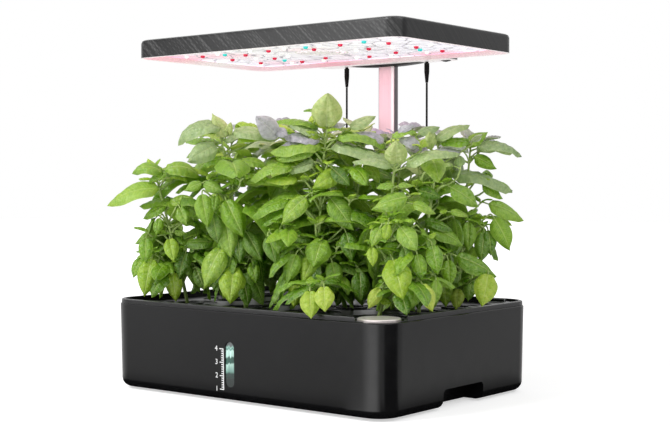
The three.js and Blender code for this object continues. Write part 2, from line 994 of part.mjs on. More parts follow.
function makeGaugeWindow() {
  const seat = gaugeSeatY() + fit.gap;
  const face = -tank.halfDepth + draftAt(gauge.bottom) + gauge.lensRecess;
  const narrow = 2 * fit.gap;
  const lens = stadiumAlongY(gauge.width - narrow, gauge.height - narrow, face, seat + fit.gap);
  const flangeBack = seat + gauge.flangeThickness;
  const flange = stadiumAlongY(
    gauge.width + 2 * gauge.flange, gauge.height + 2 * gauge.flange, seat, flangeBack,
  );
  const halfInner = gauge.width / 2 - gauge.channelWall;
  const back = flangeBack + gauge.channelDepth;
  const channel = boxSolid(
    [gauge.x - gauge.width / 2, seat + fit.gap, gauge.bottom],
    [gauge.x + gauge.width / 2, back, gauge.top],
  );
  const slide = boxSolid(
    [gauge.x - halfInner, flangeBack, gauge.bottom + gauge.stop],
    [gauge.x + halfInner, back - gauge.lip, gauge.top - gauge.stop],
  );
  const backSlot = boxSolid(
    [gauge.x - gauge.backSlot / 2, flangeBack, gauge.bottom + gauge.stop],
    [gauge.x + gauge.backSlot / 2, back + fit.overrun, gauge.top - gauge.stop],
  );
  return cut(join(lens, flange, channel), slide, backSlot);
}

function makeFloat() {
  const flangeBack = gaugeSeatY() + fit.gap + gauge.flangeThickness;
  const bottom = gauge.bottom + gauge.stop + fit.gap;
  const halfX = gauge.width / 2 - gauge.channelWall - fit.gap;
  const front = flangeBack + fit.gap;
  const back = flangeBack + gauge.channelDepth - gauge.lip - fit.gap;
  const halfY = (back - front) / 2;
  const shape = roundedShape(halfX, halfY, float.edge, gauge.x, (front + back) / 2);
  return prism(shape, bottom, bottom + float.height, coarseCornerSteps);
}

// Fill port cap

function makeFillCap() {
  const seat = deck.plateTop + port.collarRise + fit.gap;
  const rim = port.radius + port.wall + port.capOverhang;
  const plugRadius = port.radius - fit.loose;
  const top = seat + port.capThickness;
  const body = turned(
    [
      [0, seat],
      [plugRadius - port.plugWall, seat],
      [plugRadius - port.plugWall, seat - port.plugDepth],
      [plugRadius, seat - port.plugDepth],
      [plugRadius, seat],
      [rim, seat],
      [rim, top - button.edgeRound],
      [rim - button.edgeRound, top],
      [0, top],
    ],
    port.sides,
  );
  const tab = boxSolid(
    [-port.tabLength / 2, -port.tabWidth / 2, seat + fit.gap],
    [port.tabLength / 2, port.tabWidth / 2, top + port.tabHeight],
  );
  return join(body, tab);
}

// Pump

function makePumpHousing() {
  const shape = roundedShape(pump.width / 2, pump.depth / 2, pump.cornerRadius);
  const front = -pump.depth / 2;
  const axisZ = pump.bottom + pump.height / 2;
  const chamber = turnedAlongY(
    [
      [0, front - fit.overrun],
      [pump.chamberRadius, front - fit.overrun],
      [pump.chamberRadius, front + pump.chamberDepth],
      [pump.magnetRadius + fit.loose, front + pump.chamberDepth],
      [pump.magnetRadius + fit.loose, front + pump.chamberDepth + pump.magnetDepth],
      [0, front + pump.chamberDepth + pump.magnetDepth],
    ],
    pump.sides,
    0,
    axisZ,
  );
  const block = prism(shape, pump.bottom, pump.top, coarseCornerSteps);
  const barb = cylinder(pump.barbRadius, pump.top - fit.gap, pump.top + pump.barbLength, hose.sides);
  const outlet = boxSolid(
    [-pump.barbBore, front + pump.chamberDepth - pump.barbBore, axisZ],
    [pump.barbBore, pump.barbBore, pump.top - pump.barbBore],
  );
  const barbTop = pump.top + pump.barbLength + fit.overrun;
  const barbBore = cylinder(pump.barbBore - fit.gap, pump.top - 2 * pump.barbBore, barbTop, hose.sides);
  return cut(join(block, barb), chamber, outlet, barbBore);
}

function makeImpeller() {
  const front = -pump.depth / 2;
  const hubFront = front + fit.gap + fit.loose;
  const hubBack = front + pump.chamberDepth - fit.loose;
  const magnetBack = front + pump.chamberDepth + pump.magnetDepth - fit.loose;
  const axisZ = pump.bottom + pump.height / 2;
  const core = turnedAlongY(
    [
      [0, hubFront],
      [pump.hubRadius, hubFront],
      [pump.hubRadius, hubBack],
      [pump.magnetRadius, hubBack],
      [pump.magnetRadius, magnetBack],
      [0, magnetBack],
    ],
    pump.sides,
    0,
    axisZ,
  );
  const vanes = [];
  for (let i = 0; i < pump.vanes; i += 1) {
    const vane = new THREE.BoxGeometry(pump.vaneLength, hubBack - hubFront, pump.vaneThickness);
    vane.translate(pump.hubRadius - fit.gap + pump.vaneLength / 2, (hubBack + hubFront) / 2, 0);
    vane.rotateY((i / pump.vanes) * 2 * Math.PI);
    vane.translate(0, 0, axisZ);
    vanes.push(solidOf(vane));
  }
  return join(core, ...vanes);
}

function makeFilter() {
  const back = -pump.depth / 2 - fit.gap;
  const front = back - pump.filterThickness;
  const half = pump.width / 2;
  const shape = roundedShape(half, pump.height / 2, pump.cornerRadius, 0, pump.bottom + pump.height / 2);
  const plate = prismAlongY(shape, front, back, coarseCornerSteps);
  const slots = [];
  for (let i = 0; i < pump.filterSlots; i += 1) {
    const x = (i - (pump.filterSlots - 1) / 2) * pump.filterSlotPitch;
    slots.push(
      boxSolid(
        [x - pump.filterSlotWidth / 2, front - fit.overrun, pump.bottom + pump.filterMargin],
        [x + pump.filterSlotWidth / 2, back + fit.overrun, pump.top - pump.filterMargin],
      ),
    );
  }
  return cut(plate, ...slots);
}

function makeHose() {
  const bottom = pump.top + fit.gap;
  const top = deck.plateBottom - hose.endGap;
  return tube(hose.boreRadius + hose.wall, hose.boreRadius, bottom, top, hose.sides);
}

// Telescopic pole

function poleTube(grow, bottom, top, collar) {
  let outer = poleSection(grow, bottom, top);
  if (collar) outer = join(outer, poleSection(grow + pole.collarWidth, top - pole.collarHeight, top));
  return cut(outer, poleSection(grow - pole.wall, bottom - fit.overrun, top + fit.overrun));
}

// Lamp

function lampSection(inset, z, radiusInset = inset) {
  return {
    halfX: lamp.length / 2 - inset,
    halfY: lamp.depth / 2 - inset,
    radius: lamp.cornerRadius - radiusInset,
    centreY: lamp.centreY,
    z,
  };
}

function makeLampHousing() {
  const outer = [lampSection(0, lamp.bottom)];
  for (let i = 0; i <= coarseCornerSteps; i += 1) {
    const angle = (i / coarseCornerSteps) * quarter;
    const z = lamp.topHeight - lamp.topFillet * (1 - Math.sin(angle));
    outer.push(lampSection(lamp.topFillet * (1 - Math.cos(angle)), z));
  }
  const inner = [
    lampSection(lamp.wall, lamp.bottom - fit.overrun),
    lampSection(lamp.wall, lamp.topHeight - lamp.topPlate),
  ];
  const vents = [];
  for (let i = 0; i < fan.ventSlots; i += 1) {
    const y = (i - (fan.ventSlots - 1) / 2) * fan.ventPitch;
    const half = Math.sqrt(fan.rotorRadius ** 2 - y ** 2) - fan.ventEdge;
    vents.push(
      boxSolid(
        [-half, lamp.centreY + y - fan.ventWidth / 2, lamp.topHeight - lamp.topPlate - fit.overrun],
        [half, lamp.centreY + y + fan.ventWidth / 2, lamp.topHeight + fit.overrun],
      ),
    );
  }
  const hub = cylinder(
    fan.motorRadius, 0, lamp.topHeight + fit.overrun, fan.sides, 0, lamp.centreY,
  );
  return cut(loft(outer), loft(inner, innerCornerSteps), ...vents.map((vent) => cut(vent, hub)));
}

function makeReflector() {
  const outset = lamp.wall + fit.gap;
  const bottom = lamp.bottom + fit.gap;
  const top = lamp.bottom + reflector.rise;
  const widest = outset + reflector.lipWidth;
  const narrowest = widest + reflector.slopeWidth;
  const outer = loft([lampSection(outset, bottom), lampSection(outset, top)], innerCornerSteps);
  const opening = loft(
    [
      lampSection(widest, bottom - fit.overrun, outset),
      lampSection(widest, bottom, outset),
      lampSection(narrowest, top, outset),
      lampSection(narrowest, top + fit.overrun, outset),
    ],
    innerCornerSteps,
  );
  return cut(outer, opening);
}

function chipPlaces() {
  const places = [];
  for (let column = 0; column < reds.columns; column += 1) {
    for (let row = 0; row < reds.rows; row += 1) {
      const x = (column - (reds.columns - 1) / 2) * reds.pitchX + reds.shiftX;
      const y = (row - (reds.rows - 1) / 2) * reds.pitchY + (column % 2 ? reds.oddY : reds.evenY);
      places.push([x, y]);
    }
  }
  for (const [x, y] of blueShares) places.push([x * lamp.length, y * lamp.depth]);
  for (let column = 0; column < whites.columns; column += 1) {
    for (let row = 0; row < whites.rows; row += 1) {
      const x = (column - (whites.columns - 1) / 2) * whites.pitchX;
      const y = (row - (whites.rows - 1) / 2) * whites.pitchY;
      const free = places.every(([a, b]) => Math.hypot(a - x, b - y) > board.chip + whites.clearance);
      if (free) places.push([x, y]);
    }
  }
  const keepOut = fan.openingRadius + board.chip;
  return places.filter(([x, y]) => Math.hypot(x, y) > keepOut);
}

function makeBoard() {
  const section = (z) => lampSection(lamp.wall + board.edgeGap, z);
  const top = board.bottom + board.thickness;
  const plate = loft([section(board.bottom), section(top)], innerCornerSteps);
  const halfDiagonal = board.chip / Math.SQRT2;
  const face = board.bottom - board.chipHeight;
  const back = board.bottom + fit.gap;
  const chips = chipPlaces().map(([x, y]) => {
    const faceDiagonal = halfDiagonal * board.chipTaperShare;
    const chip = new THREE.CylinderGeometry(halfDiagonal, faceDiagonal, back - face, 4);
    chip.rotateY(Math.PI / 4);
    chip.rotateX(quarter);
    chip.translate(x, lamp.centreY + y, (face + back) / 2);
    return solidOf(chip);
  });
  const opening = cylinder(fan.openingRadius, 0, top + fit.overrun, fan.sides, 0, lamp.centreY);
  return cut(join(plate, ...chips), opening);
}

// Fan

function makeFanGuard() {
  const outer = fan.openingRadius - fit.gap;
  const inner = outer - fan.guardRim;
  const top = fan.guardThickness;
  const pieces = [tube(outer, inner, 0, top, fan.sides), cylinder(fan.hubRadius, 0, top, fan.sides / 2)];
  const pitch = (inner - fan.hubRadius) / fan.guardRings;
  for (let i = 1; i < fan.guardRings; i += 1) {
    const radius = fan.hubRadius + i * pitch;
    pieces.push(tube(radius + fan.guardBar / 2, radius - fan.guardBar / 2, 0, top, fan.sides));
  }
  for (let i = 0; i < fan.guardSpokes; i += 1) {
    const spoke = new THREE.BoxGeometry(inner - fan.hubRadius + fan.guardBar, fan.guardBar, top);
    spoke.translate((inner + fan.hubRadius) / 2, 0, top / 2);
    spoke.rotateZ((i / fan.guardSpokes) * 2 * Math.PI);
    pieces.push(solidOf(spoke));
  }
  return join(...pieces);
}

function makeFanRotor() {
  const { hubRadius, rotorHeight, boreRadius } = fan;
  const hub = turned(
    [
      [boreRadius, 0],
      [hubRadius, 0],
      [hubRadius, rotorHeight],
      [boreRadius, rotorHeight],
      [boreRadius, 0],
    ],
    fan.sides / 2,
  );
  const blades = [];
  const span = fan.rotorRadius - hubRadius + fan.bladeRoot;
  const pitch = (fan.bladePitch * Math.PI) / 180;
  const chord = (rotorHeight - fan.bladeThickness) / Math.sin(pitch);
  for (let i = 0; i < fan.blades; i += 1) {
    const blade = new THREE.BoxGeometry(span, chord, fan.bladeThickness);
    blade.rotateX(pitch);
    blade.translate(hubRadius - fan.bladeRoot + span / 2, 0, rotorHeight / 2);
    blade.rotateZ((i / fan.blades) * 2 * Math.PI);
    blades.push(solidOf(blade));
  }
  return join(hub, ...blades);
}

function makeFanMotor() {
  const { motorTop } = fan;
  const plate = cylinder(fan.motorRadius, motorTop - fan.motorHeight, motorTop, fan.sides / 2);
  const shaft = cylinder(fan.shaftRadius, fan.rotorBottom, motorTop - fit.gap, fan.sides / 2);
  return join(plate, shaft);
}

// Rear housing, bracket, plugs and switch

function makeRearHousing() {
  const halfY = rearHousing.depth / 2;
  const centreY = rearHousing.frontY + halfY;
  const section = (inset, z) => ({
    halfX: rearHousing.halfWidth - inset,
    halfY: halfY - inset,
    radius: rearHousing.cornerRadius - inset,
    centreY,
    z,
  });
  const top = lamp.bottom + rearHousing.height;
  const body = loft(
    [
      section(0, lamp.bottom),
      section(0, top - rearHousing.edgeRound),
      section(rearHousing.edgeRound, top),
    ],
    innerCornerSteps,
  );
  const pocket = poleSection(fit.gap, lamp.bottom - fit.overrun, lamp.bottom + pole.pocketDepth + fit.gap);
  const sockets = [-1, 1].map((side) => {
    const bore = plug.neckRadius + fit.gap;
    const mouth = lamp.bottom - fit.overrun;
    return cylinder(bore, mouth, lamp.bottom + plug.neckLength, plug.sides, side * lead.x, lead.y);
  });
  const switchHole = boxSolid(
    [
      rocker.x - rocker.halfLength - fit.loose,
      rocker.y - rocker.halfWidth - fit.gap,
      lamp.bottom - fit.overrun,
    ],
    [
      rocker.x + rocker.halfLength + fit.loose,
      rocker.y + rocker.halfWidth + fit.gap,
      lamp.bottom + rocker.pocketDepth,
    ],
  );
  return cut(body, pocket, ...sockets, switchHole);
}

function makeBracket() {
  const top = lamp.bottom - fit.gap;
  const { halfWidth, sag } = bracket;
  const radius = (halfWidth ** 2 + sag ** 2) / (2 * sag);
  const half = Math.asin(halfWidth / radius);
  const shape = new THREE.Shape();
  shape.absarc(0, top - sag + radius, radius, -Math.PI / 2 - half, -Math.PI / 2 + half, false);
  shape.closePath();
  const plate = prismAlongY(
    shape,
    rearHousing.frontY + bracket.frontMargin,
    rearHousing.backY - bracket.backMargin,
    bracket.arcSteps,
  );
  return cut(plate, poleSection(fit.gap, 0, lamp.topHeight));
}

function makePlug() {
  const { top, bottom, radius } = plug;
  const bodyTop = top - plug.neckLength;
  return turned(
    [
      [0, bottom],
      [plug.tipRadius, bottom],
      [radius, bodyTop - plug.bodyLength],
      [radius, bodyTop],
      [plug.neckRadius, bodyTop],
      [plug.neckRadius, top],
      [0, top],
    ],
    plug.sides,
  );
}

function makeRocker() {
  const shape = new THREE.Shape();
  const { halfLength, apex, depth } = rocker;
  const narrow = halfLength - depth * Math.tan((rocker.tilt * Math.PI) / 180);
  shape.moveTo(0, -apex);
  shape.lineTo(halfLength, 0);
  shape.lineTo(narrow, depth);
  shape.lineTo(-narrow, depth);
  shape.lineTo(-halfLength, 0);
  shape.closePath();
  return prismAlongY(shape, -rocker.halfWidth, rocker.halfWidth);
}

// Leads from the rear console up to the plugs
const leadRoute = [
  [56.5, 119.5, 70],
  [56.5, 119.5, 97],
  [56.5, 119.5, 180],
  [56.5, 119.5, 260],
  [56.5, 119.5, 333.2],
];

function makeLead(side) {
  const points = leadRoute.map(([x, y, z]) => new THREE.Vector3(side * x, y, z));
  const path = new THREE.CatmullRomCurve3(points);
  const section = new THREE.Shape();
  section.absarc(0, 0, lead.radius, 0, 2 * Math.PI, false);
  const geometry = new THREE.ExtrudeGeometry(section, {
    steps: leadRoute.length,
    extrudePath: path,
    curveSegments: lead.sides / 2,
  });
  return solidOf(geometry);
}

function makeGrommet() {
  const bore = lead.radius + fit.gap;
  const seat = rearConsole.top + fit.gap;
  const { bodyRadius, flangeRadius, flangeHeight, bodyLength } = grommet;
  return turned(
    [
      [bore, seat - bodyLength],
      [bodyRadius, seat - bodyLength],
      [bodyRadius, seat],
      [flangeRadius, seat],
      [flangeRadius, seat + flangeHeight / 2],
      [flangeRadius - flangeHeight / 2, seat + flangeHeight],
      [bore, seat + flangeHeight],
      [bore, seat - bodyLength],
    ],
    grommet.sides,
  );
}

function makeInlet() {
  const wallInside = tank.halfDepth - tank.draft - rearConsole.backWall;
  const shoulder = wallInside - fit.gap;
  const face = tank.halfDepth - draftAt(inlet.z) + inlet.proud;
  const start = shoulder - inlet.bodyLength;
  const boreEnd = face - inlet.boreDepth;
  return turnedAlongY(
    [
      [0, start],
      [inlet.bodyRadius, start],
      [inlet.bodyRadius, shoulder],
      [inlet.noseRadius, shoulder],
      [inlet.noseRadius, face],
      [inlet.boreRadius, face],
      [inlet.boreRadius, boreEnd],
      [inlet.pinRadius, boreEnd],
      [inlet.pinRadius, face - inlet.pinShort],
      [0, face - inlet.pinShort],
    ],
    inlet.sides,
    inlet.x,
    inlet.z,
  );
}

function makeDriverBoard() {
  const { centreX, width, bottom, height, thickness, coilSize, coilHeight } = driverBoard;
  const front = rearConsole.frontY + rearConsole.wall + fit.gap;
  const back = front + thickness;
  const plate = boxSolid(
    [centreX - width / 2, front, bottom],
    [centreX + width / 2, back, bottom + height],
  );
  const coil = boxSolid(
    [centreX - coilSize, front + fit.gap, bottom + coilSize],
    [centreX, back + coilHeight, bottom + 2 * coilSize],
  );
  const capacitor = turnedAlongY(
    [
      [0, front + fit.gap],
      [driverBoard.capacitorRadius, front + fit.gap],
      [driverBoard.capacitorRadius, back + driverBoard.capacitorLength],
      [0, back + driverBoard.capacitorLength],
    ],
    inlet.sides / 2,
    centreX + width / 4,
    bottom + height / 2,
  );
  return join(plate, coil, capacitor);
}

// Assembly

addPart("tank_housing", makeTank(), materials.shell);
addPart("deck", makeDeck(), materials.deckPlastic);

for (const place of podPlaces()) {
  const number = place.row * pods.columns + place.column + 1;
  addPart(`basket_${number}`, makeBasket(), materials.basketPlastic, [place.x, place.y, 0]);
  addPart(`plant_${number}`, makePlant(place), materials.foliage);
}

addPart("control_button", makeButton(), materials.silver, [corner.x, corner.y, 0]);
addPart("control_board", makeControlBoard(), materials.circuit, [corner.x, corner.y, 0]);
addPart("gauge_window", makeGaugeWindow(), materials.clear);
addPart("gauge_float", makeFloat(), materials.floatTeal);
addPart("fill_cap", makeFillCap(), materials.deckPlastic, [port.x, port.y, 0]);

addPart("pump_housing", makePumpHousing(), materials.pumpPlastic, [pump.x, pump.y, 0]);
addPart("pump_impeller", makeImpeller(), materials.whitePlastic, [pump.x, pump.y, 0]);
addPart("pump_filter", makeFilter(), materials.pumpPlastic, [pump.x, pump.y, 0]);
addPart("pump_hose", makeHose(), materials.hoseClear, [pump.x, pump.y, 0]);

const step = fit.gap + pole.wall;
addPart("pole_sleeve", poleTube(2 * step, pole.sleeveBottom, pole.sleeveTop, true), materials.blackTrim);
const middleTop = pole.middleBottom + pole.middleLength;
addPart("pole_middle", poleTube(step, pole.middleBottom, middleTop, true), materials.pole);
addPart("pole_top", poleTube(0, pole.topBottom, lamp.bottom + pole.pocketDepth, false), materials.pole);

addPart("lamp_housing", makeLampHousing(), materials.lampShell);
addPart("lamp_reflector", makeReflector(), materials.whitePlastic);
addPart("led_board", makeBoard(), materials.boardWhite);
addPart("lamp_rear_housing", makeRearHousing(), materials.blackTrim);
addPart("pole_bracket", makeBracket(), materials.blackTrim);

addPart("fan_guard", makeFanGuard(), materials.whitePlastic, [0, lamp.centreY, board.bottom]);
addPart("fan_rotor", makeFanRotor(), materials.blackTrim, [0, lamp.centreY, fan.rotorBottom]);
addPart("fan_motor", makeFanMotor(), materials.steel, [0, lamp.centreY, 0]);

for (const [name, side] of [
  ["left", -1],
  ["right", 1],
]) {
  const place = [side * lead.x, lead.y, 0];
  addPart(`plug_${name}`, makePlug(), materials.blackTrim, place);
  addPart(`lead_${name}`, makeLead(side), materials.blackTrim);
  addPart(`grommet_${name}`, makeGrommet(), materials.rubber, place);
}

const rockerMesh = addPart("lamp_switch", makeRocker(), materials.blackTrim, [
  rocker.x,
  rocker.y,
  lamp.bottom,
]);
rockerMesh.rotation.y = (rocker.tilt * Math.PI) / 180;

addPart("power_inlet", makeInlet(), materials.blackTrim);
addPart("driver_board", makeDriverBoard(), materials.circuit);
addPart("bay_cover", boxSolid(...bayCoverCorners(0)), materials.blackTrim);

footPlaces().forEach(([x, y], i) => {
  const name = ["front_right", "front_left", "rear_right", "rear_left"][i];
  addPart(`foot_${name}`, cylinder(foot.radius, 0, foot.height, foot.sides), materials.rubber, [x, y, 0]);
});

export default garden;
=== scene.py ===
"""Looks of a countertop hydroponic garden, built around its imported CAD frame."""

import random
from functools import partialmethod
from math import atan, atan2, copysign, cos, hypot, pi, radians, sin, sqrt

import bpy
import numpy as np
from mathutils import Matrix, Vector


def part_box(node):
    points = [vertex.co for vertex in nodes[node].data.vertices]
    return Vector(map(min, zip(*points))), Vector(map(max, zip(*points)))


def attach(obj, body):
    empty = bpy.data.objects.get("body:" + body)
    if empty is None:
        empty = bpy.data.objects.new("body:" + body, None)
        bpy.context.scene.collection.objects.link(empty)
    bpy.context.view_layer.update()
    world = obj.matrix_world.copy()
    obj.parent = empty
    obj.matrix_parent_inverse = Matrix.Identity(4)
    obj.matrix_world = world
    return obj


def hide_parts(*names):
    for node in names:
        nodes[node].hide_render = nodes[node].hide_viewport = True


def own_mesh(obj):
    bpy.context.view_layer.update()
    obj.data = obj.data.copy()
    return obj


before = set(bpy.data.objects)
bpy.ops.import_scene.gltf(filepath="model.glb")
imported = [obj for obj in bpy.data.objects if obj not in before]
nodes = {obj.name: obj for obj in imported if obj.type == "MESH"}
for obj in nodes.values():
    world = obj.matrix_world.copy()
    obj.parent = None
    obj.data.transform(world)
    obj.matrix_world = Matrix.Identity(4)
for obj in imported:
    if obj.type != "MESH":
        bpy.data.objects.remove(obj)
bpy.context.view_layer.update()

scene = bpy.context.scene
UP = np.array([0.0, 0.0, 1.0])


def middle_of(name):
    """The middle of a CAD node's box."""
    low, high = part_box(name)
    return (low + high) / 2


def make_object(name, data, body=None, place=(0, 0, 0), turn=(0, 0, 0)):
    """Puts a new object in the scene, on its body where one is given."""
    made = bpy.data.objects.new(name, data)
    made.location, made.rotation_euler = place, turn
    scene.collection.objects.link(made)
    if body:
        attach(made, body)
    return made


# Camera, at the photograph's viewing angle

PICTURE_WIDTH, PICTURE_HEIGHT = 670, 440
CAMERA_PLACE = np.array([0.8886, -1.0956, 0.2183])
CAMERA_TURN, CAMERA_DIP = radians(38.39), radians(1.49)
CAMERA_LENS, CAMERA_SENSOR = 70.6, 36.0
FOCAL_PIXELS = CAMERA_LENS / CAMERA_SENSOR * PICTURE_WIDTH
CAMERA_RIGHT = np.array([cos(CAMERA_TURN), sin(CAMERA_TURN), 0.0])
CAMERA_AHEAD = np.cross(UP, CAMERA_RIGHT) * cos(CAMERA_DIP) - UP * sin(CAMERA_DIP)
CAMERA_UP = np.cross(CAMERA_RIGHT, CAMERA_AHEAD)


def make_camera():
    data = bpy.data.cameras.new("camera")
    data.lens, data.sensor_width = CAMERA_LENS, CAMERA_SENSOR
    turn = (pi / 2 - CAMERA_DIP, 0, CAMERA_TURN)
    scene.camera = make_object("camera", data, place=CAMERA_PLACE, turn=turn)


def pixel_ray(px, py):
    """The ray through a pixel, one unit long along the camera's axis."""
    right = (px - PICTURE_WIDTH / 2) / FOCAL_PIXELS
    down = (py - PICTURE_HEIGHT / 2) / FOCAL_PIXELS
    return CAMERA_AHEAD + CAMERA_RIGHT * right - CAMERA_UP * down


def pixel_of(point):
    """A point's pixel and its depth."""
    away = np.asarray(point) - CAMERA_PLACE
    depth = away @ CAMERA_AHEAD
    px = PICTURE_WIDTH / 2 + FOCAL_PIXELS * (away @ CAMERA_RIGHT) / depth
    py = PICTURE_HEIGHT / 2 - FOCAL_PIXELS * (away @ CAMERA_UP) / depth
    return px, py, depth


# Shapes

class Shape:
    """The vertices and faces of one piece, with a map and a tone at each vertex."""

    def __init__(self):
        self.vertices, self.faces, self.maps, self.tones = [], [], [], []

    def add(self, vertices, faces, maps=None, tone=(0.5, 0.0, 0.5)):
        start = len(self.vertices)
        self.vertices.extend(tuple(map(float, v)) for v in vertices)
        self.faces.extend(tuple(start + i for i in face) for face in faces)
        self.maps.extend(maps or [(0.0, 0.0)] * len(vertices))
        self.tones.extend([(*tone, 1.0)] * len(vertices))

    def build(self, name, material, body, slot, smooth=True):
        mesh = bpy.data.meshes.new(name)
        mesh.from_pydata(self.vertices, [], self.faces)
        mesh.materials.append(material)
        mesh.polygons.foreach_set("use_smooth", [smooth] * len(mesh.polygons))
        corners = np.zeros(len(mesh.loops), int)
        mesh.loops.foreach_get("vertex_index", corners)
        layer = mesh.uv_layers.new(name="leaf_map")
        layer.data.foreach_set("uv", np.array(self.maps, np.float32)[corners].ravel())
        tone = mesh.attributes.new("tone", "FLOAT_COLOR", "POINT")
        tone.data.foreach_set("color", np.array(self.tones, np.float32).ravel())
        mesh.update()
        return make_object(name, mesh, body)


def unit(vector):
    return np.asarray(vector, float) / max(np.linalg.norm(vector), 1e-12)


def ring_faces(rows, sides):
    """The faces between neighbouring rings of vertices."""
    steps = [(i, (i + 1) % sides) for i in range(sides)]
    starts = range(0, (rows - 1) * sides, sides)
    return [(a + i, a + j, a + sides + j, a + sides + i) for a in starts for i, j in steps]


def tube(points, radii, sides=6):
    """Vertices and faces of a closed round tube along points."""
    points = np.asarray(points, float)
    steps = np.gradient(points, axis=0)
    side = np.cross(unit(steps[0]), UP)
    if np.linalg.norm(side) < 0.1:
        side = np.cross(unit(steps[0]), CAMERA_RIGHT)
    turns = np.linspace(0, 2 * pi, sides, endpoint=False)
    vertices = []
    for point, step, radius in zip(points, steps, np.broadcast_to(radii, len(points))):
        ahead = unit(step)
        side = unit(side - ahead * (side @ ahead))
        ring = np.outer(np.cos(turns), side) + np.outer(np.sin(turns), np.cross(ahead, side))
        vertices.extend(point + ring * radius)
    last = len(vertices) - sides
    ends = [tuple(range(sides))[::-1], tuple(range(last, last + sides))]
    return vertices, ring_faces(len(points), sides) + ends


def turned(profile, centre, sides):
    """Vertices and faces of (radius, height) pairs turned about a vertical line."""
    turns = np.linspace(0, 2 * pi, sides, endpoint=False)
    vertices = [
        (centre[0] + radius * cos(a), centre[1] + radius * sin(a), height)
        for radius, height in profile
        for a in turns
    ]
    return vertices, ring_faces(len(profile), sides)


# Materials

def srgb(colour):
    """Linear red, green and blue of a colour written as 0 to 255 in sRGB."""
    shares = [c / 255 for c in colour]
    return (*(c / 12.92 if c <= 0.04045 else ((c + 0.055) / 1.055) ** 2.4 for c in shares), 1.0)


class Nodes:
    """Short calls for the nodes of a material or a world."""

    def __init__(self, owner):
        owner.use_nodes = True
        self.tree = owner.node_tree

    def fill(self, socket, value):
        """Links another socket into this one, or sets its value."""
        if isinstance(value, bpy.types.NodeSocket):
            self.tree.links.new(value, socket)
        else:
            socket.default_value = value

    def add(self, kind, inputs=(), **settings):
        node = self.tree.nodes.new("ShaderNode" + kind)
        for name, value in settings.items():
            setattr(node, name, value)
        for name, value in dict(inputs).items():
            self.fill(node.inputs[name], value)
        return node

    def math(self, operation, first, second=0.0):
        return self.add("Math", {0: first, 1: second}, operation=operation).outputs[0]

    plus = partialmethod(math, "ADD")
    minus = partialmethod(math, "SUBTRACT")
    times = partialmethod(math, "MULTIPLY")
    larger = partialmethod(math, "MAXIMUM")
    size = partialmethod(math, "ABSOLUTE")
    zigzag = partialmethod(math, "PINGPONG")

    def reach(self, x, y):
        """The length of a flat vector."""
        return self.math("SQRT", self.plus(self.times(x, x), self.times(y, y)))

    def between(self, value, low, high, new_low=0.0, new_high=1.0):
        return self.add("MapRange", enumerate((value, low, high, new_low, new_high))).outputs[0]

    def fall(self, value, low, high):
        """One up to low, and nothing from high on."""
        return self.between(value, low, high, 1.0, 0.0)

    def under(self, value, limit, soft=0.0001):
        return self.fall(value, limit - soft, limit + soft)


class Look(Nodes):
    """One procedural material."""

    def __init__(self, name, roughness, metallic=0.0, specular=0.5):
        self.material = bpy.data.materials.new(name)
        super().__init__(self.material)
        self.shader = self.tree.nodes["Principled BSDF"]
        self.set("Roughness", roughness)
        self.set("Metallic", metallic)
        self.set("Specular IOR Level", specular)

    def set(self, socket, value):
        self.fill(self.shader.inputs[socket], value)

    def place(self, scale=(1, 1, 1)):
        """Object coordinates, scaled."""
        coordinates = self.add("TexCoord").outputs["Object"]
        return self.add("Mapping", {"Vector": coordinates, "Scale": scale}).outputs["Vector"]

    def axes(self, vector=None):
        """X, y and z of a vector, or of the object coordinates."""
        return tuple(self.add("SeparateXYZ", {"Vector": vector or self.place()}).outputs)

    def noise(self, scale, place=None, detail=3.0, roughness=0.5):
        inputs = {"Vector": place or self.place(), "Scale": scale, "Detail": detail, "Roughness": roughness}
        return self.add("TexNoise", inputs).outputs["Fac"]

    def cells(self, scale, feature="DISTANCE_TO_EDGE"):
        """Distances in a pattern of cells."""
        inputs = {"Vector": self.place(), "Scale": scale}
        return self.add("TexVoronoi", inputs, feature=feature).outputs["Distance"]

    def ramp(self, value, *stops):
        """A colour ramp through (place, colour) stops, colours as written in sRGB."""
        node = self.add("ValToRGB", {"Fac": value})
        elements = node.color_ramp.elements
        while len(elements) < len(stops):
            elements.new(0.5)
        for element, (place, colour) in zip(elements, stops):
            element.position, element.color = place, srgb(colour)
        return node.outputs["Color"]

    def swing(self, value, low, high):
        """A number that follows the middle of a noise's range."""
        return self.between(value, 0.3, 0.7, low, high)

    def patches(self, value, dark, light):
        """Two colours that blend over the middle of a noise's range."""
        return self.ramp(value, (0.3, dark), (0.7, light))

    def mix(self, share, first, second, blend="MIX"):
        """Mixes two colours, each of them a socket or written in sRGB."""
        first, second = (srgb(c) if isinstance(c, tuple) else c for c in (first, second))
        inputs = {0: share, 6: first, 7: second}
        return self.add("Mix", inputs, data_type="RGBA", blend_type=blend).outputs[2]

    def paint(self, colour, glow=None):
        """Sets the colour and, where a glow is given, light of that colour and strength."""
        self.set("Base Color", colour)
        if glow:
            self.glow(glow, colour)

    def glow(self, strength, colour=(1.0, 1.0, 1.0, 1.0)):
        self.set("Emission Color", colour)
        self.set("Emission Strength", strength)

    def bump(self, height, strength, distance):
        """Adds the bump, the last step of a look, and gives the finished material."""
        inputs = {"Height": height, "Strength": strength, "Distance": distance}
        self.set("Normal", self.add("Bump", inputs).outputs["Normal"])
        return self.material


def moulded(name, dark, light, roughness, grain, depth, specular=0.5):
    """Moulded plastic: a fine grain, slow changes of colour and of gloss."""
    look = Look(name, roughness, specular=specular)
    look.paint(look.patches(look.noise(14.0), dark, light))
    look.set("Roughness", look.swing(look.noise(60.0), roughness - 0.05, roughness + 0.05))
    return look.bump(look.noise(grain, detail=2.0), 0.35, depth)


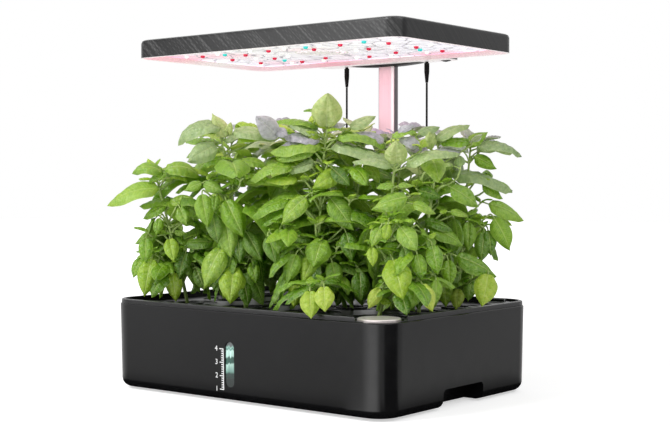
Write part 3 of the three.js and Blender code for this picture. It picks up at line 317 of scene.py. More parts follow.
def deck_look():
    """The deck's plastic: a painted grey sheen makes the flats lighter than the upright faces, which are as
    dark as the tank.
    """
    look = Look("deck_plastic", 0.32, specular=0.34)
    facing = look.axes(look.add("TexCoord").outputs["Normal"])[2]
    upright = look.fall(look.size(facing), 0.3, 0.7)
    # Painted sheen: faces that look up are painted a lighter grey than the upright faces.
    flat_painted_sheen = look.patches(look.noise(14.0), (17, 17, 19), (27, 27, 29))
    look.paint(look.mix(upright, flat_painted_sheen, (15, 15, 16)))
    look.set("Roughness", look.between(upright, 0.0, 1.0, 0.34, 0.26))
    return look.bump(look.noise(2200.0, detail=2.0), 0.35, 0.0001)


WEAVE, WEAVE_SHARE = 0.006, 0.3
STREAK_SCALE, STREAK_SLANT, STREAK_STRETCH = 270.0, 1.1, 0.05
LINING_HALF_X, LINING_HALF_Y, LINING_MIDDLE_Y, LINING_RADIUS = 0.1754, 0.1044, 0.0025, 0.0149
LINING_TOP, LAMP_UNDERSIDE, GUARD_TOP = 0.375, 0.3573, 0.3624


def carbon_film():
    """The lamp's shell: printed twill with slanting streaks, a painted reflection that lightens it towards
    the right end, and pale plastic inside and underneath with a painted glow for the LEDs' light.
    """
    look = Look("carbon_film", 0.3, specular=0.2)
    x, y, z = look.axes()
    along, aside = look.plus(x, y), look.minus(x, y)
    first = look.between(look.zigzag(look.plus(along, z), WEAVE / 2), 0.0, WEAVE / 2)
    second = look.between(look.zigzag(look.minus(aside, z), WEAVE), WEAVE * 0.3, WEAVE * 0.7)
    weave = look.size(look.minus(first, second))
    slant = {"X": look.plus(along, look.times(z, STREAK_SLANT)), "Y": look.times(aside, STREAK_STRETCH)}
    slant = look.add("CombineXYZ", slant).outputs["Vector"]
    streaks = look.between(look.noise(STREAK_SCALE, slant, 2.0, 0.6), 0.4, 0.66)
    print_depth = look.plus(look.times(weave, WEAVE_SHARE), look.times(streaks, 1 - WEAVE_SHARE))
    film = look.ramp(print_depth, (0.0, (12, 12, 13)), (0.45, (26, 26, 27)), (1.0, (80, 80, 80)))
    # Painted reflection: the film is mixed towards grey, from nothing at the left end to 0.14 at the right
    # end.
    film = look.mix(look.between(x, -LINING_HALF_X, LINING_HALF_X, 0.0, 0.14), film, (128, 128, 128))
    ends = look.between(look.size(x), LINING_HALF_X - 0.001, LINING_HALF_X, 0.0, 0.85)
    top = look.between(z, LINING_TOP, LINING_TOP + 0.0015, 0.0, 0.6)
    film = look.mix(look.larger(ends, top), film, (26, 26, 27))

    beyond = []
    for value, middle, half in ((x, 0.0, LINING_HALF_X), (y, LINING_MIDDLE_Y, LINING_HALF_Y)):
        away = look.size(look.minus(value, middle))
        beyond.append(look.larger(look.minus(away, half - LINING_RADIUS), 0.0))
    inside = look.under(look.reach(*beyond), LINING_RADIUS, 0.0002)
    inside = look.times(inside, look.under(z, LINING_TOP))
    pale = look.larger(inside, look.under(z, LAMP_UNDERSIDE))
    lining = look.patches(look.noise(40.0), (232, 220, 224), (246, 238, 240))
    look.paint(look.mix(pale, film, lining))
    # Painted glow: the pale lining inside and underneath glows as if lit by the LEDs; its pale colour is the
    # plastic's own.
    look.glow(look.times(pale, 0.42), (1.0, 0.94, 0.95, 1.0))
    look.set("Coat Weight", 0.05)
    look.set("Coat Roughness", 0.3)
    return look.bump(print_depth, 0.25, 0.0002)


def pole_look():
    """Brushed metal: painted pink light in front, with a painted highlight band by its right edge and painted
    shade along both edges, and silver behind.
    """
    look = Look("pole_metal", 0.36, metallic=0.3, specular=0.4)
    lines = look.noise(700.0, look.place((1, 1, 0.02)), 4.0, 0.7)
    x, y, _z = look.axes()
    low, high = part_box("pole_top")
    middle, half = (low + high) / 2, (high - low) / 2
    across = look.between(look.minus(x, middle[0]), -half[0], half[0], -1.0, 1.0)
    # Painted highlight: a bright band near the right edge of the front face.
    painted_highlight_band = look.times(look.between(across, 0.5, 0.68), look.fall(across, 0.86, 0.92))
    # Painted pink light from the LEDs on the front face.
    painted_pink_light = look.patches(lines, (236, 196, 205), (246, 210, 218))
    silver = look.patches(lines, (160, 158, 162), (190, 188, 192))
    colour = look.mix(look.under(y, middle[1], 0.0005), silver, look.mix(painted_highlight_band, painted_pink_light, (255, 250, 250)))
    # Painted shade: darker lines along both edges of the face.
    painted_edge_shade = look.larger(look.between(across, 0.9, 0.94), look.fall(across, -0.92, -0.87))
    look.paint(look.mix(painted_edge_shade, colour, (112, 106, 110)))
    look.set("Roughness", look.swing(lines, 0.3, 0.42))
    return look.bump(lines, 0.1, 0.0001)


def fan_look():
    """White fan plastic with a painted glow for the light of the LEDs round it, dark on its top."""
    look = Look("fan_plastic", 0.4)
    colour = look.patches(look.noise(160.0), (232, 226, 228), (246, 242, 242))
    top = look.between(look.axes()[2], GUARD_TOP - 0.0003, GUARD_TOP - 0.0001)
    # Painted glow: the fan glows as if lit by the LEDs round it.
    look.paint(look.mix(top, colour, (22, 22, 23)), 0.42)
    return look.bump(look.noise(1500.0), 0.2, 0.0001)


def button_look():
    """The button's metal, turned on a lathe: fine rings round its centre."""
    look = Look("button_metal", 0.28, metallic=0.5)
    x, y, _z = look.axes()
    radius = look.reach(look.minus(x, BUTTON_CENTRE[0]), look.minus(y, BUTTON_CENTRE[1]))
    rings = look.noise(1400.0, look.add("CombineXYZ", {"X": radius}).outputs["Vector"], 2.0)
    look.paint(look.patches(rings, (224, 214, 211), (250, 243, 240)))
    return look.bump(rings, 0.15, 0.0001)


def board_paint():
    """The LED board's white mask with faint tracks, with painted pink light in patches and a painted glow for
    the light of its own LEDs.
    """
    look = Look("board_paint", 0.5)
    tracks = look.between(look.cells(42.0), 0.02, 0.05)
    painted_pink_light = look.between(look.noise(9.0, detail=1.0), 0.56, 0.7)
    base = look.mix(painted_pink_light, (244, 240, 252), (248, 196, 214))
    # Painted pink light in patches and a painted glow for the LEDs' light on the white mask.
    look.paint(look.mix(tracks, (172, 166, 178), base), 0.58)
    return look.bump(tracks, 0.2, 0.0002)


def reflector_paint():
    """The sloped border round the board, with painted pink light in broad patches and a painted glow."""
    look = Look("reflector_paint", 0.4)
    painted_pink_light = look.between(look.noise(7.0, detail=1.5), 0.34, 0.56)
    # Painted pink light in patches and a painted glow for the LEDs' light on the pale border.
    look.paint(look.mix(painted_pink_light, (247, 238, 241), (252, 182, 198)), 0.38)
    return look.bump(look.noise(900.0), 0.15, 0.0001)


def glowing(name, centre_colour, rim_colour, strength):
    """An LED's face, uneven as the die shows through its lens."""
    look = Look(name, 0.25)
    spots = look.noise(900.0, detail=1.0)
    look.paint(look.ramp(spots, (0.35, centre_colour), (0.65, rim_colour)), strength)
    return look.material


# The level window's colours, from its foot to its top, with bright bands of painted light in the water.
GAUGE_COLOURS_AND_PAINTED_LIGHT = (
    (0.0, (20, 26, 26)), (0.2, (28, 40, 38)), (0.32, (40, 66, 60)), (0.36, (112, 156, 144)),
    (0.5, (176, 214, 202)), (0.53, (36, 84, 72)), (0.63, (34, 82, 70)), (0.66, (184, 224, 212)),
    (0.77, (198, 234, 224)), (0.8, (84, 134, 122)), (0.84, (146, 188, 176)), (0.87, (92, 100, 100)),
    (1.0, (84, 88, 88)),
)


def gauge_glass():
    """The level window: painted teal water light with bright bands, fading to grey above and below, with a
    painted glow and a painted shine in streaks under a clear front.
    """
    look = Look("gauge_glass", 0.18)
    low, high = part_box("gauge_window")
    streaks = look.noise(1.0, look.place((420, 420, 34)), 2.0)
    height = look.between(look.axes()[2], low[2], high[2])
    height = look.plus(height, look.swing(streaks, -0.025, 0.025))
    # Painted shine: streaks that lighten and darken the window's colour, a painted reflection.
    painted_shine = look.between(streaks, 0.35, 0.65, 0.82, 1.12)
    painted_shine = look.add("CombineColor", {0: painted_shine, 1: painted_shine, 2: painted_shine}).outputs[0]
    look.paint(look.mix(1.0, look.ramp(height, *GAUGE_COLOURS_AND_PAINTED_LIGHT), painted_shine, "MULTIPLY"), 0.12)
    look.set("Coat Weight", 0.3)
    return look.bump(streaks, 0.2, 0.0003)


def circuit_mask():
    """Green solder mask with paler tracks."""
    look = Look("circuit_mask", 0.4)
    tracks = look.between(look.cells(260.0), 0.02, 0.06)
    look.paint(look.mix(tracks, (70, 140, 88), (20, 84, 46)))
    return look.bump(tracks, 0.3, 0.0002)


def sponge_look():
    look = Look("sponge_foam", 0.95, specular=0.2)
    pores = look.cells(900.0, "F1")
    damp = look.patches(look.noise(120.0), (46, 38, 26), (78, 70, 44))
    # Painted shade: the pores are darkest at their centres, where they sink.
    look.paint(look.mix(look.between(pores, 0.1, 0.5), (26, 22, 16), damp))
    return look.bump(pores, 0.8, 0.0006)


def stem_look():
    look = Look("basil_stem", 0.5)
    lines = look.noise(1.0, look.place((900, 900, 60)))
    look.paint(look.ramp(lines, (0.3, (132, 160, 78)), (0.55, (168, 190, 108)), (0.75, (196, 210, 146))))
    return look.bump(lines, 0.3, 0.0002)


LEAF_VEINS, MOTTLE_SCALE, NET_SCALE = 6, 220.0, 330.0
# A leaf's colours, from the oldest to the youngest.
LEAF_COLOURS = (
    (0.0, (38, 80, 0)), (0.3, (84, 136, 4)), (0.55, (128, 176, 22)), (0.78, (170, 204, 48)),
    (1.0, (208, 224, 94)),
)


def leaf_look():
    """Basil leaf: colour by the leaf's age, paler veins, quilted bumps with painted shade by the veins and
    painted highlight between them, a painted highlight on the margin, painted lilac lamp light on some
    leaves, light through the blade.
    """
    look = Look("basil_leaf", 0.32)
    tone = look.add("Attribute", attribute_name="tone").outputs["Color"]
    age, painted_lilac, chance = look.add("SeparateColor", {"Color": tone}).outputs
    map_x, map_y, _z = look.axes(look.add("UVMap", uv_map="leaf_map").outputs["UV"])
    across = look.times(look.size(look.minus(map_x, 0.5)), 2.0)
    along = look.times(map_y, float(LEAF_VEINS))
    from_vein = look.zigzag(along, 0.5)
    side_vein = look.fall(from_vein, 0.0, 0.07)
    side_vein = look.times(side_vein, look.between(across, 0.55, 1.0, 1.0, 0.15))
    midrib = look.fall(across, 0.03, 0.09)

    mottle = look.noise(MOTTLE_SCALE)
    quilt = look.minus(look.between(from_vein, 0.0, 0.5), midrib)
    age = look.plus(age, look.swing(mottle, -0.1, 0.1))
    # Painted shade and highlight: the colour darkens by the veins and lightens on the quilted bumps between
    # them.
    age = look.plus(age, look.between(quilt, 0.0, 1.0, -0.035, 0.035))
    blade = look.ramp(age, *LEAF_COLOURS)
    # Painted highlight: a pale line along the leaf's margin.
    painted_margin_highlight = look.between(across, 0.86, 1.0, 0.0, 0.45)
    fine_veins = look.fall(look.zigzag(look.times(along, 3.0), 0.5), 0.1, 0.4)
    fine_veins = look.times(fine_veins, look.between(chance, 0.45, 0.6, 0.0, 0.3))
    cells = look.cells(NET_SCALE)
    net = look.between(cells, 0.0, 0.14, 0.32, 0.0)
    shown = look.larger(look.times(side_vein, 0.5), look.times(midrib, 0.85))
    for pale_lines in (painted_margin_highlight, fine_veins, net):
        shown = look.larger(shown, pale_lines)
    blade = look.mix(shown, blade, look.mix(0.6, blade, (224, 240, 140)))
    # Painted lilac light: the lamp's pink light on the top leaves, painted as a grey lilac colour with paler
    # veins.
    grey = look.patches(mottle, (180, 170, 194), (220, 211, 234))
    grey = look.mix(look.times(look.larger(side_vein, midrib), 0.5), grey, (228, 220, 236))
    blade = look.mix(painted_lilac, blade, grey)
    behind = look.add("NewGeometry").outputs["Backfacing"]
    blade = look.mix(behind, blade, look.mix(0.34, blade, (156, 184, 92)))
    look.paint(blade)
    look.set("Roughness", look.between(chance, 0.0, 1.0, 0.24, 0.4))

    through = look.add("BsdfTranslucent", {"Color": look.mix(0.35, blade, (170, 214, 60))})
    shaders = {0: 0.26, 1: look.shader.outputs["BSDF"], 2: through.outputs["BSDF"]}
    surface = look.tree.nodes["Material Output"].inputs["Surface"]
    look.fill(surface, look.add("MixShader", shaders).outputs["Shader"])
    puff = look.plus(look.times(mottle, 0.3), look.between(cells, 0.0, 0.4))
    return look.bump(look.plus(quilt, puff), 0.5, 0.0008)


make_camera()


# Leads: two thin cables, each from its grommet in the console up to its plug under the lamp

LEAD_DIAMETER, LEAD_SIDE, LEAD_Y = 0.0023, 0.0565, 0.1195
LEAD_LOW, LEAD_HIGH = 0.070, 0.3332
LEAD_POINTS = 24

rubber = moulded("cable_rubber", (7, 7, 8), (12, 12, 13), 0.6, 1800.0, 0.0001, specular=0.16)
for side_name, side in (("left", -1), ("right", 1)):
    heights = np.linspace(LEAD_LOW, LEAD_HIGH, LEAD_POINTS)
    route = [(side * LEAD_SIDE, LEAD_Y, z) for z in heights]
    lead_shape = Shape()
    lead_shape.add(*tube(route, LEAD_DIAMETER / 2, sides=16))
    lead = lead_shape.build(f"cable_{side_name}", rubber, "base", "rubber")
    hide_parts(f"lead_{side_name}")
    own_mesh(lead)


# Basil plants

LEAF_ROWS, LEAF_COLUMNS = 2 * LEAF_VEINS, 4
LEAF_WIDTH_SHARE = 0.56
LEAF_CUP, LEAF_WAVE, LEAF_QUILT = 0.32, 0.1, 0.045
OUTLINE_SHARES = (
    (0.0, 0.0), (0.04, 0.38), (0.1, 0.66), (0.2, 0.89), (0.32, 0.99), (0.42, 1.0),
    (0.55, 0.93), (0.68, 0.77), (0.8, 0.54), (0.89, 0.31), (0.95, 0.14), (1.0, 0.0),
)
SWEEP_INNER, SWEEP_OUTER = 1.25, 0.82
BEND_STEPS = np.linspace(0, 1, 25)


def leaf_grid():
    """A leaf's shares along and across, in rows that follow its side veins, and its faces."""
    outline = np.array(OUTLINE_SHARES)
    count = 2 * LEAF_COLUMNS + 1
    places = [(0.0, 0.0, 0.0, 0.0, 0.0)]
    for row in range(1, LEAF_ROWS):
        t = row / LEAF_ROWS
        middle, edge = t ** SWEEP_INNER, t ** SWEEP_OUTER
        half = np.interp(edge, *outline.T)
        raised = 1.0 if row % 2 else -1.0
        for across in np.linspace(-1, 1, count):
            along = middle + (edge - middle) * abs(across) ** 0.85
            quilt = raised * sin(pi * min(abs(across) * 1.3, 1.0))
            places.append((along, across, across * half, t, quilt))
    places.append((1.0, 0.0, 0.0, 1.0, 0.0))
    pairs = [(i, i + 1) for i in range(count - 1)]
    last = 1 + (LEAF_ROWS - 2) * count
    faces = [(0, 1 + j, 1 + i) for i, j in pairs]
    for start in range(1, last, count):
        faces.extend((start + i, start + j, start + count + j, start + count + i) for i, j in pairs)
    faces.extend((last + i, last + j, len(places) - 1) for i, j in pairs)
    return np.array(places), faces


LEAF_PLACES, LEAF_FACES = leaf_grid()


def bend_line(droop):
    """A unit leaf's midrib in its own plane, level at first and then bending down by droop."""
    angle = droop * BEND_STEPS ** 1.2
    middle = (angle[1:] + angle[:-1]) / 2
    along, down = (np.concatenate([[0], np.cumsum(part(middle))]) / len(middle) for part in (np.cos, np.sin))
    return angle, along, down


def place_leaf(plant, base, tip, normal, width, droop, tone, least_roll):
    """Adds a leaf whose midrib bends from base to tip and whose upper face looks along normal."""
    rng = plant.rng
    roll, twist = rng.uniform(least_roll, 0.5), rng.uniform(-0.3, 0.3)
    angle, along, down = bend_line(droop)
    lean = atan2(down[-1], along[-1])
    length = np.linalg.norm(tip - base) / hypot(along[-1], down[-1])
    chord_way = unit(tip - base)
    normal = unit(normal - chord_way * (normal @ chord_way))
    ahead = chord_way * cos(lean) + normal * sin(lean)
    above = normal * cos(lean) - chord_way * sin(lean)

    share, across, spread, row_share, quilt = LEAF_PLACES.T
    reach, drop = (np.interp(share, BEND_STEPS, part) * length for part in (along, down))
    bend = np.interp(share, BEND_STEPS, angle)
    local_up = np.outer(np.cos(bend), above) + np.outer(np.sin(bend), ahead)
    size = abs(across)
    wave = sin(rng.uniform(0, 6)) * np.sin(share * 9 + rng.uniform(0, 6)) * size ** 2 * LEAF_WAVE
    cup = LEAF_CUP * np.sin(pi * np.clip(size * 0.8, 0, 1)) * (1.1 - share)
    puff = LEAF_QUILT * quilt * np.clip(1.25 - share, 0, 1)
    height = width / 2 * (cup - roll * size ** 2.4 + wave + puff)
    turn = (twist * share)[:, None]
    local_side = np.cross(ahead, above) * np.cos(turn) + local_up * np.sin(turn)
    points = base + np.outer(reach, ahead) - np.outer(drop, above)
    points += local_side * (spread * width / 2)[:, None] + local_up * height[:, None]
    maps = [(0.5 + a / 2, r) for a, r in zip(across, row_share)]
    plant.leaves.add(points, LEAF_FACES, maps, (*tone, rng.random()))
    return ahead


def add_twig(plant, start, end, way_out, way_in, radii, steps=7):
    """Adds a stalk that curves from start to end, leaves along way_out and arrives along way_in."""
    size = np.linalg.norm(end - start) * 0.4
    first, second = start + unit(way_out) * size, end - unit(way_in) * size
    t = np.linspace(0, 1, steps)[:, None]
    rest = 1 - t
    curve = rest ** 3 * start + 3 * rest ** 2 * t * first + 3 * rest * t ** 2 * second + t ** 3 * end
    plant.stems.add(*tube(curve, np.linspace(*radii, steps)))
    return curve


LOW_LEAF_TRIES, LOW_ROOTS, LOW_LENGTHS = 34, (0.112, 0.178), (0.030, 0.048)
STEM_BOTTOM, STEM_RADIUS = 0.084, 0.0021
PETIOLE_RADIUS = 0.00085
TWIG_RADII = (0.0012, 0.0009)
POD_PITCH_X, POD_PITCH_Y = 0.086, 0.070

# Where each plant's top lies, in metres: its lean from its pod in x and y, and its height.
PLANT_TOPS = {
    1: (-0.029, -0.024, 0.236),
    2: (-0.022, -0.018, 0.271),
    3: (0.018, 0.012, 0.282),
    4: (0.018, 0.013, 0.250),
    5: (-0.030, 0.004, 0.272),
    6: (-0.008, 0.010, 0.284),
    7: (0.006, 0.006, 0.272),
    8: (0.015, 0.010, 0.257),
    9: (-0.024, 0.012, 0.284),
    10: (-0.008, 0.010, 0.276),
    11: (0.012, 0.008, 0.276),
    12: (0.012, 0.009, 0.262),
}

# Leaves that the photograph shows well, by plant and then by tone. Each is its base and tip pixels,
# the width that shows and how far it arches above its chord, and which rim its tip hangs over.
PHOTO_LEAF_PIXELS = {
    1: {
        "fresh": [(163, 173, 132, 174, 11, 12), (165, 170, 200, 178, 12, 9), (160, 189, 107, 206, 17, 7),
                  (170, 204, 193, 197, 9, 2), (180, 208, 187, 225, 15, 2), (174, 232, 188, 234, 6, 1)],
        "mid": [(164, 173, 148, 184, 5, 3), (166, 206, 143, 219, 8, 3), (158, 236, 135, 244, 12, 5),
                (146, 238, 146, 264, 14, 0), (142, 258, 133, 278, 9, 0), (158, 262, 153, 292, 10, 0),
                (160, 218, 156, 236, 9, 0)],
        "bright": [(170, 239, 174, 262, 15, 0), (152, 258, 144, 297, 22, 0), (173, 272, 176, 302, 17, 0)],
        "deep": [(186, 252, 179, 280, 12, 0), (196, 268, 205, 291, 13, 0), (214, 243, 181, 245, 10, 3)],
    },
    2: {
        "pale": [(226, 138, 212, 113, 15, 3), (228, 134, 231, 122, 8, 0)],
        "bright": [(234, 268, 230, 304, 27, 0)],
        "faint_painted_lilac": [(222, 130, 178, 146, 12, 13), (220, 128, 186, 132, 9, 7), (216, 146, 187, 162, 22, 4),
                  (232, 134, 275, 140, 11, 6)],
        "fresh": [(204, 184, 224, 192, 13, 3), (202, 183, 184, 191, 11, 3), (226, 224, 231, 258, 15, 2),
                  (222, 248, 204, 289, 17, 0), (240, 162, 270, 168, 10, 4)],
        "mid": [(226, 200, 244, 238, 24, 0), (202, 194, 208, 228, 19, 0), (216, 196, 214, 212, 10, 0),
                (252, 262, 256, 284, 10, 0), (228, 160, 202, 166, 9, 4), (232, 160, 246, 168, 8, 2)],
        "deep": [(220, 260, 213, 291, 13, 0), (246, 232, 262, 262, 17, 0), (238, 238, 240, 264, 11, 0),
                 (212, 214, 218, 244, 12, 0)],
    },
    3: {
        "pale": [(326, 127, 328, 93, 31, 2)],
        "young": [(310, 291, 311, 319, 20, 0, "front"), (324, 287, 325, 312, 19, 0, "front")],
        "bright": [(318, 139, 306, 131, 9, 0), (340, 172, 312, 189, 19, 4), (298, 181, 265, 181, 8, 2),
                   (316, 252, 302, 284, 18, 2), (298, 282, 294, 308, 16, 0)],
        "faint_painted_lilac": [(330, 149, 400, 165, 10, 6), (314, 162, 289, 174, 11, 3), (350, 129, 376, 116, 11, 2),
                  (318, 135, 289, 125, 7, 2)],
        "fresh": [(336, 139, 386, 148, 8, 8), (322, 148, 270, 153, 9, 6), (316, 150, 277, 160, 12, 4),
                  (292, 167, 249, 181, 9, 6), (306, 197, 281, 225, 18, 4), (310, 284, 318, 303, 14, 0)],
        "painted_lilac": [(320, 142, 283, 136, 9, 3), (302, 144, 281, 146, 9, 2), (384, 143, 356, 132, 12, 3),
                  (278, 137, 256, 116, 22, 2), (276, 130, 288, 136, 12, 0), (330, 131, 346, 124, 6, 0)],
        "mid": [(290, 201, 252, 218, 8, 5), (330, 198, 354, 231, 22, 4), (280, 229, 278, 254, 16, 0),
                (322, 240, 313, 268, 26, 0), (296, 254, 287, 284, 12, 0), (332, 262, 337, 292, 11, 0),
                (318, 112, 303, 111, 3, 0), (296, 210, 262, 226, 8, 4)],
        "deep": [(360, 272, 361, 303, 18, 0), (290, 236, 312, 241, 9, 2), (346, 232, 352, 262, 15, 0),
                 (268, 236, 276, 264, 13, 0), (332, 168, 350, 186, 14, 2)],
    },
    4: {
        "pale": [(396, 163, 396, 140, 23, 0)],
        "young": [(422, 284, 433, 312, 17, 0, "right"), (380, 288, 368, 309, 11, 0)],
        "bright": [(393, 260, 403, 300, 29, 0), (380, 300, 392, 303, 8, 2), (372, 247, 373, 267, 10, 0),
                   (388, 224, 384, 243, 11, 0)],
        "fresh": [(394, 186, 376, 188, 6, 2), (398, 186, 414, 186, 6, 2), (408, 197, 371, 210, 19, 5),
                  (400, 227, 417, 250, 20, 2), (380, 228, 371, 248, 11, 4), (392, 138, 416, 131, 5, 3),
                  (412, 204, 436, 214, 10, 3)],
        "faint_painted_lilac": [(406, 167, 461, 154, 11, 7), (392, 168, 352, 162, 8, 4)],
        "painted_lilac": [(420, 147, 398, 138, 12, 3), (398, 133, 415, 125, 7, 0)],
        "mid": [(432, 245, 438, 275, 17, 0), (417, 254, 422, 281, 15, 0), (416, 282, 412, 309, 18, 0),
                (398, 245, 381, 251, 9, 3), (436, 280, 436, 303, 12, 0)],
        "deep": [(404, 248, 408, 270, 10, 0), (404, 252, 384, 262, 8, 2)],
    },
    11: {
        "deep": [(372, 170, 398, 182, 15, 3), (402, 160, 378, 172, 14, 3), (396, 176, 374, 190, 14, 3)],
        "mid": [(384, 150, 404, 160, 10, 3), (380, 182, 402, 196, 15, 3)],
        "faint_painted_lilac": [(388, 136, 372, 142, 8, 2)],
    },
    8: {
        "pale": [(430, 149, 430, 131, 13, 0)],
        "faint_painted_lilac": [(436, 141, 470, 125, 9, 4), (418, 134, 440, 127, 8, 2)],
        "painted_lilac": [(434, 154, 461, 152, 10, 3)],
        "fresh": [(450, 187, 479, 207, 17, 3), (450, 212, 468, 217, 8, 3)],
        "mid": [(428, 228, 463, 246, 15, 4), (448, 260, 450, 287, 15, 0), (470, 143, 440, 144, 8, 3),
                (456, 256, 497, 277, 15, 3)],
        "deep": [(424, 221, 453, 231, 8, 3), (418, 190, 442, 198, 14, 3)],
    },
    12: {
        "fresh": [(466, 146, 488, 132, 13, 0), (488, 204, 524, 221, 15, 4), (482, 184, 503, 199, 11, 2)],
        "faint_painted_lilac": [(476, 149, 522, 157, 10, 9), (450, 176, 513, 191, 10, 7)],
        "mid": [(474, 156, 497, 169, 14, 2), (494, 218, 510, 251, 17, 0), (468, 222, 468, 252, 15, 0)],
        "bright": [(444, 279, 446, 308, 14, 0)],
        "deep": [(488, 230, 491, 256, 10, 0), (484, 232, 481, 263, 13, 0), (472, 278, 468, 302, 12, 0)],
        "young": [(488, 274, 482, 307, 23, 0, "right"), (458, 289, 456, 310, 14, 0)],
    },
}
# Each tone is a leaf's age and its share of painted lilac lamp light.
TONES = {
    "pale": (0.86, 0.26),
    "young": (0.88, 0.0),
    "bright": (0.72, 0.0),
    "fresh": (0.6, 0.04),
    "mid": (0.46, 0.0),
    "deep": (0.24, 0.0),
    "faint_painted_lilac": (0.62, 0.3),
    "painted_lilac": (0.5, 0.85),
}

# The foliage's outline in the photograph, in pixels.
FOLIAGE_OUTLINE_PIXELS = (
    (104, 208), (128, 170), (150, 156), (176, 158), (186, 134), (210, 112), (232, 122), (250, 112),
    (276, 118), (300, 128), (314, 98), (328, 92), (346, 108), (356, 114), (376, 114), (392, 130),
    (416, 124), (448, 123), (470, 124), (500, 132), (524, 150), (514, 184), (528, 216), (514, 254),
    (498, 280), (486, 308), (434, 314), (330, 320), (230, 306), (150, 300), (132, 262), (130, 236),
)


def inside_outline(px, py):
    hit = False
    points = FOLIAGE_OUTLINE_PIXELS
    for (x0, y0), (x1, y1) in zip(points, points[1:] + points[:1]):
        if (y0 > py) != (y1 > py) and px < (x1 - x0) * (py - y0) / (y1 - y0) + x0:
            hit = not hit
    return hit


# What leaves stay clear of, in metres from the part's middle or from the floor.
LIMIT_X, LIMIT_Y, LIMIT_TOP = 0.197, 0.143, 0.316
RIM_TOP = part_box("deck")[1][2]
RIM_GAP, TRAY_HALF_X, TRAY_HALF_Y = 0.003, 0.176, 0.126
DECK_TOP, DECK_GAP = 0.0905, 0.002
CONSOLE_HALF, CONSOLE_FRONT = 0.072, 0.107
POLE_HALF, POLE_FRONT = 0.021, 0.110
LEAD_ROOM, LEAD_FRONT = 0.007, 0.112
BUTTON_CENTRE = middle_of("control_button")
CAP_PLACE = middle_of("fill_cap")
CAP_REACH, CAP_CLEAR = 0.031, 0.138
# Where the tips of leaves that hang over the rim lie: an axis and a place along it.
OVER_RIM = {"front": (1, -0.1415), "right": (0, 0.1905)}
HANG_SLOPE, HANG_OUT, STAND_OUT, RIM_BACK = 0.8, 0.014, 0.004, 0.012
MOST_FORWARD, HANG_FORWARD = 0.6, 0.25
FLAT_DROOP, MOST_DROOP = radians(54), radians(120)
SHOOT_GAP, LONG_GAP = 0.013, 0.034
SHOOT_RADII = (0.0013, 0.0009)
LEAST_KNEE = 0.012
PHOTO_ROLL, FILL_ROLL = 0.26, 0.2
LEAF_SPACING, LEAF_NORMAL = 0.0085, 0.04
TURNS_ASIDE, STALK_RISE = (0.0, 0.35, -0.35, 0.7, -0.7), 0.35
OVERLAP_DEPTH, OVERLAP_PIXELS = 0.004, 3


def pod_place(number):
    row, column = divmod(number - 1, 4)
    return np.array([(column - 1.5) * POD_PITCH_X, (row - 1) * POD_PITCH_Y, STEM_BOTTOM])


def stem_points(number, steps=12):
    """The main stem's line, from the sponge to the plant's top."""
    start = pod_place(number)
    lean_x, lean_y, height = PLANT_TOPS[number]
    rng = random.Random(100 + number)
    t = np.linspace(0, 1, steps)
    bend_x, bend_y = rng.uniform(-0.004, 0.004), rng.uniform(-0.004, 0.004)
    x = start[0] + lean_x * t ** 1.25 + bend_x * np.sin(t * pi * 1.6)
    y = start[1] + lean_y * t ** 1.25 + bend_y * np.sin(t * pi * 1.3)
    return np.stack([x, y, start[2] + (height - start[2]) * t], axis=1)


def stem_at(line, height):
    """The point of a stem's line at a height."""
    height = min(max(height, line[0][2]), line[-1][2])
    return np.array([np.interp(height, line[:, 2], line[:, axis]) for axis in range(3)])


class Plant:
    """One plant's stem line, leaves, stalks and random draws."""

    def __init__(self, number):
        self.number = number
        self.line = stem_points(number)
        self.leaves, self.stems = Shape(), Shape()
        self.rng = random.Random(number)
        radii = np.linspace(STEM_RADIUS, STEM_RADIUS * 0.45, len(self.line))
        self.stems.add(*tube(self.line, radii, 8))


def slide_inside(ray, point):
    """Moves a point along its pixel's ray until it is inside the part's box."""
    for axis, limit in ((0, LIMIT_X), (1, LIMIT_Y)):
        if abs(point[axis]) > limit:
            wanted = copysign(limit, point[axis])
            point = CAMERA_PLACE + ray * (wanted - CAMERA_PLACE[axis]) / ray[axis]
    return point


def photo_leaf(line, leaf):
    """One leaf of the photograph as base, tip, normal, width and droop, in metres and radians."""
    base_x, base_y, tip_x, tip_y, shown, arch, *rim = leaf
    base_ray, tip_ray = pixel_ray(base_x, base_y), pixel_ray(tip_x, tip_y)
    depth = pixel_of(line[-1])[2]
    for _ in range(3):
        base = CAMERA_PLACE + base_ray * depth
        depth = pixel_of(stem_at(line, base[2]))[2]
    chord = hypot(tip_x - base_x, tip_y - base_y)
    seen_length, seen_width = chord * depth / FOCAL_PIXELS, shown * depth / FOCAL_PIXELS
    width = LEAF_WIDTH_SHARE * seen_length
    forward = 0.0
    if seen_width > width:
        width = seen_width
        forward = sqrt(max((width / LEAF_WIDTH_SHARE) ** 2 - seen_length ** 2, 0))
        forward = min(forward, MOST_FORWARD * seen_length)
    out = STAND_OUT
    if tip_y - base_y > HANG_SLOPE * abs(tip_x - base_x):
        forward = max(forward, HANG_FORWARD * seen_length)
        out = HANG_OUT
    base = CAMERA_PLACE + base_ray * (depth - out)
    tip = CAMERA_PLACE + tip_ray * (depth - out - forward)
    if rim:
        axis, limit = OVER_RIM[rim[0]]
        tip = CAMERA_PLACE + tip_ray * (limit - CAMERA_PLACE[axis]) / tip_ray[axis]
        base = CAMERA_PLACE + base_ray * ((tip - CAMERA_PLACE) @ CAMERA_AHEAD + RIM_BACK)
    facing = min(seen_width / width, 1.0)
    normal = UP * sqrt(max(1 - facing ** 2, 0.05)) - CAMERA_AHEAD * facing
    droop = min(4 * atan(2 * arch / chord), MOST_DROOP) if arch else FLAT_DROOP
    return slide_inside(base_ray, base), slide_inside(tip_ray, tip), normal, width, droop


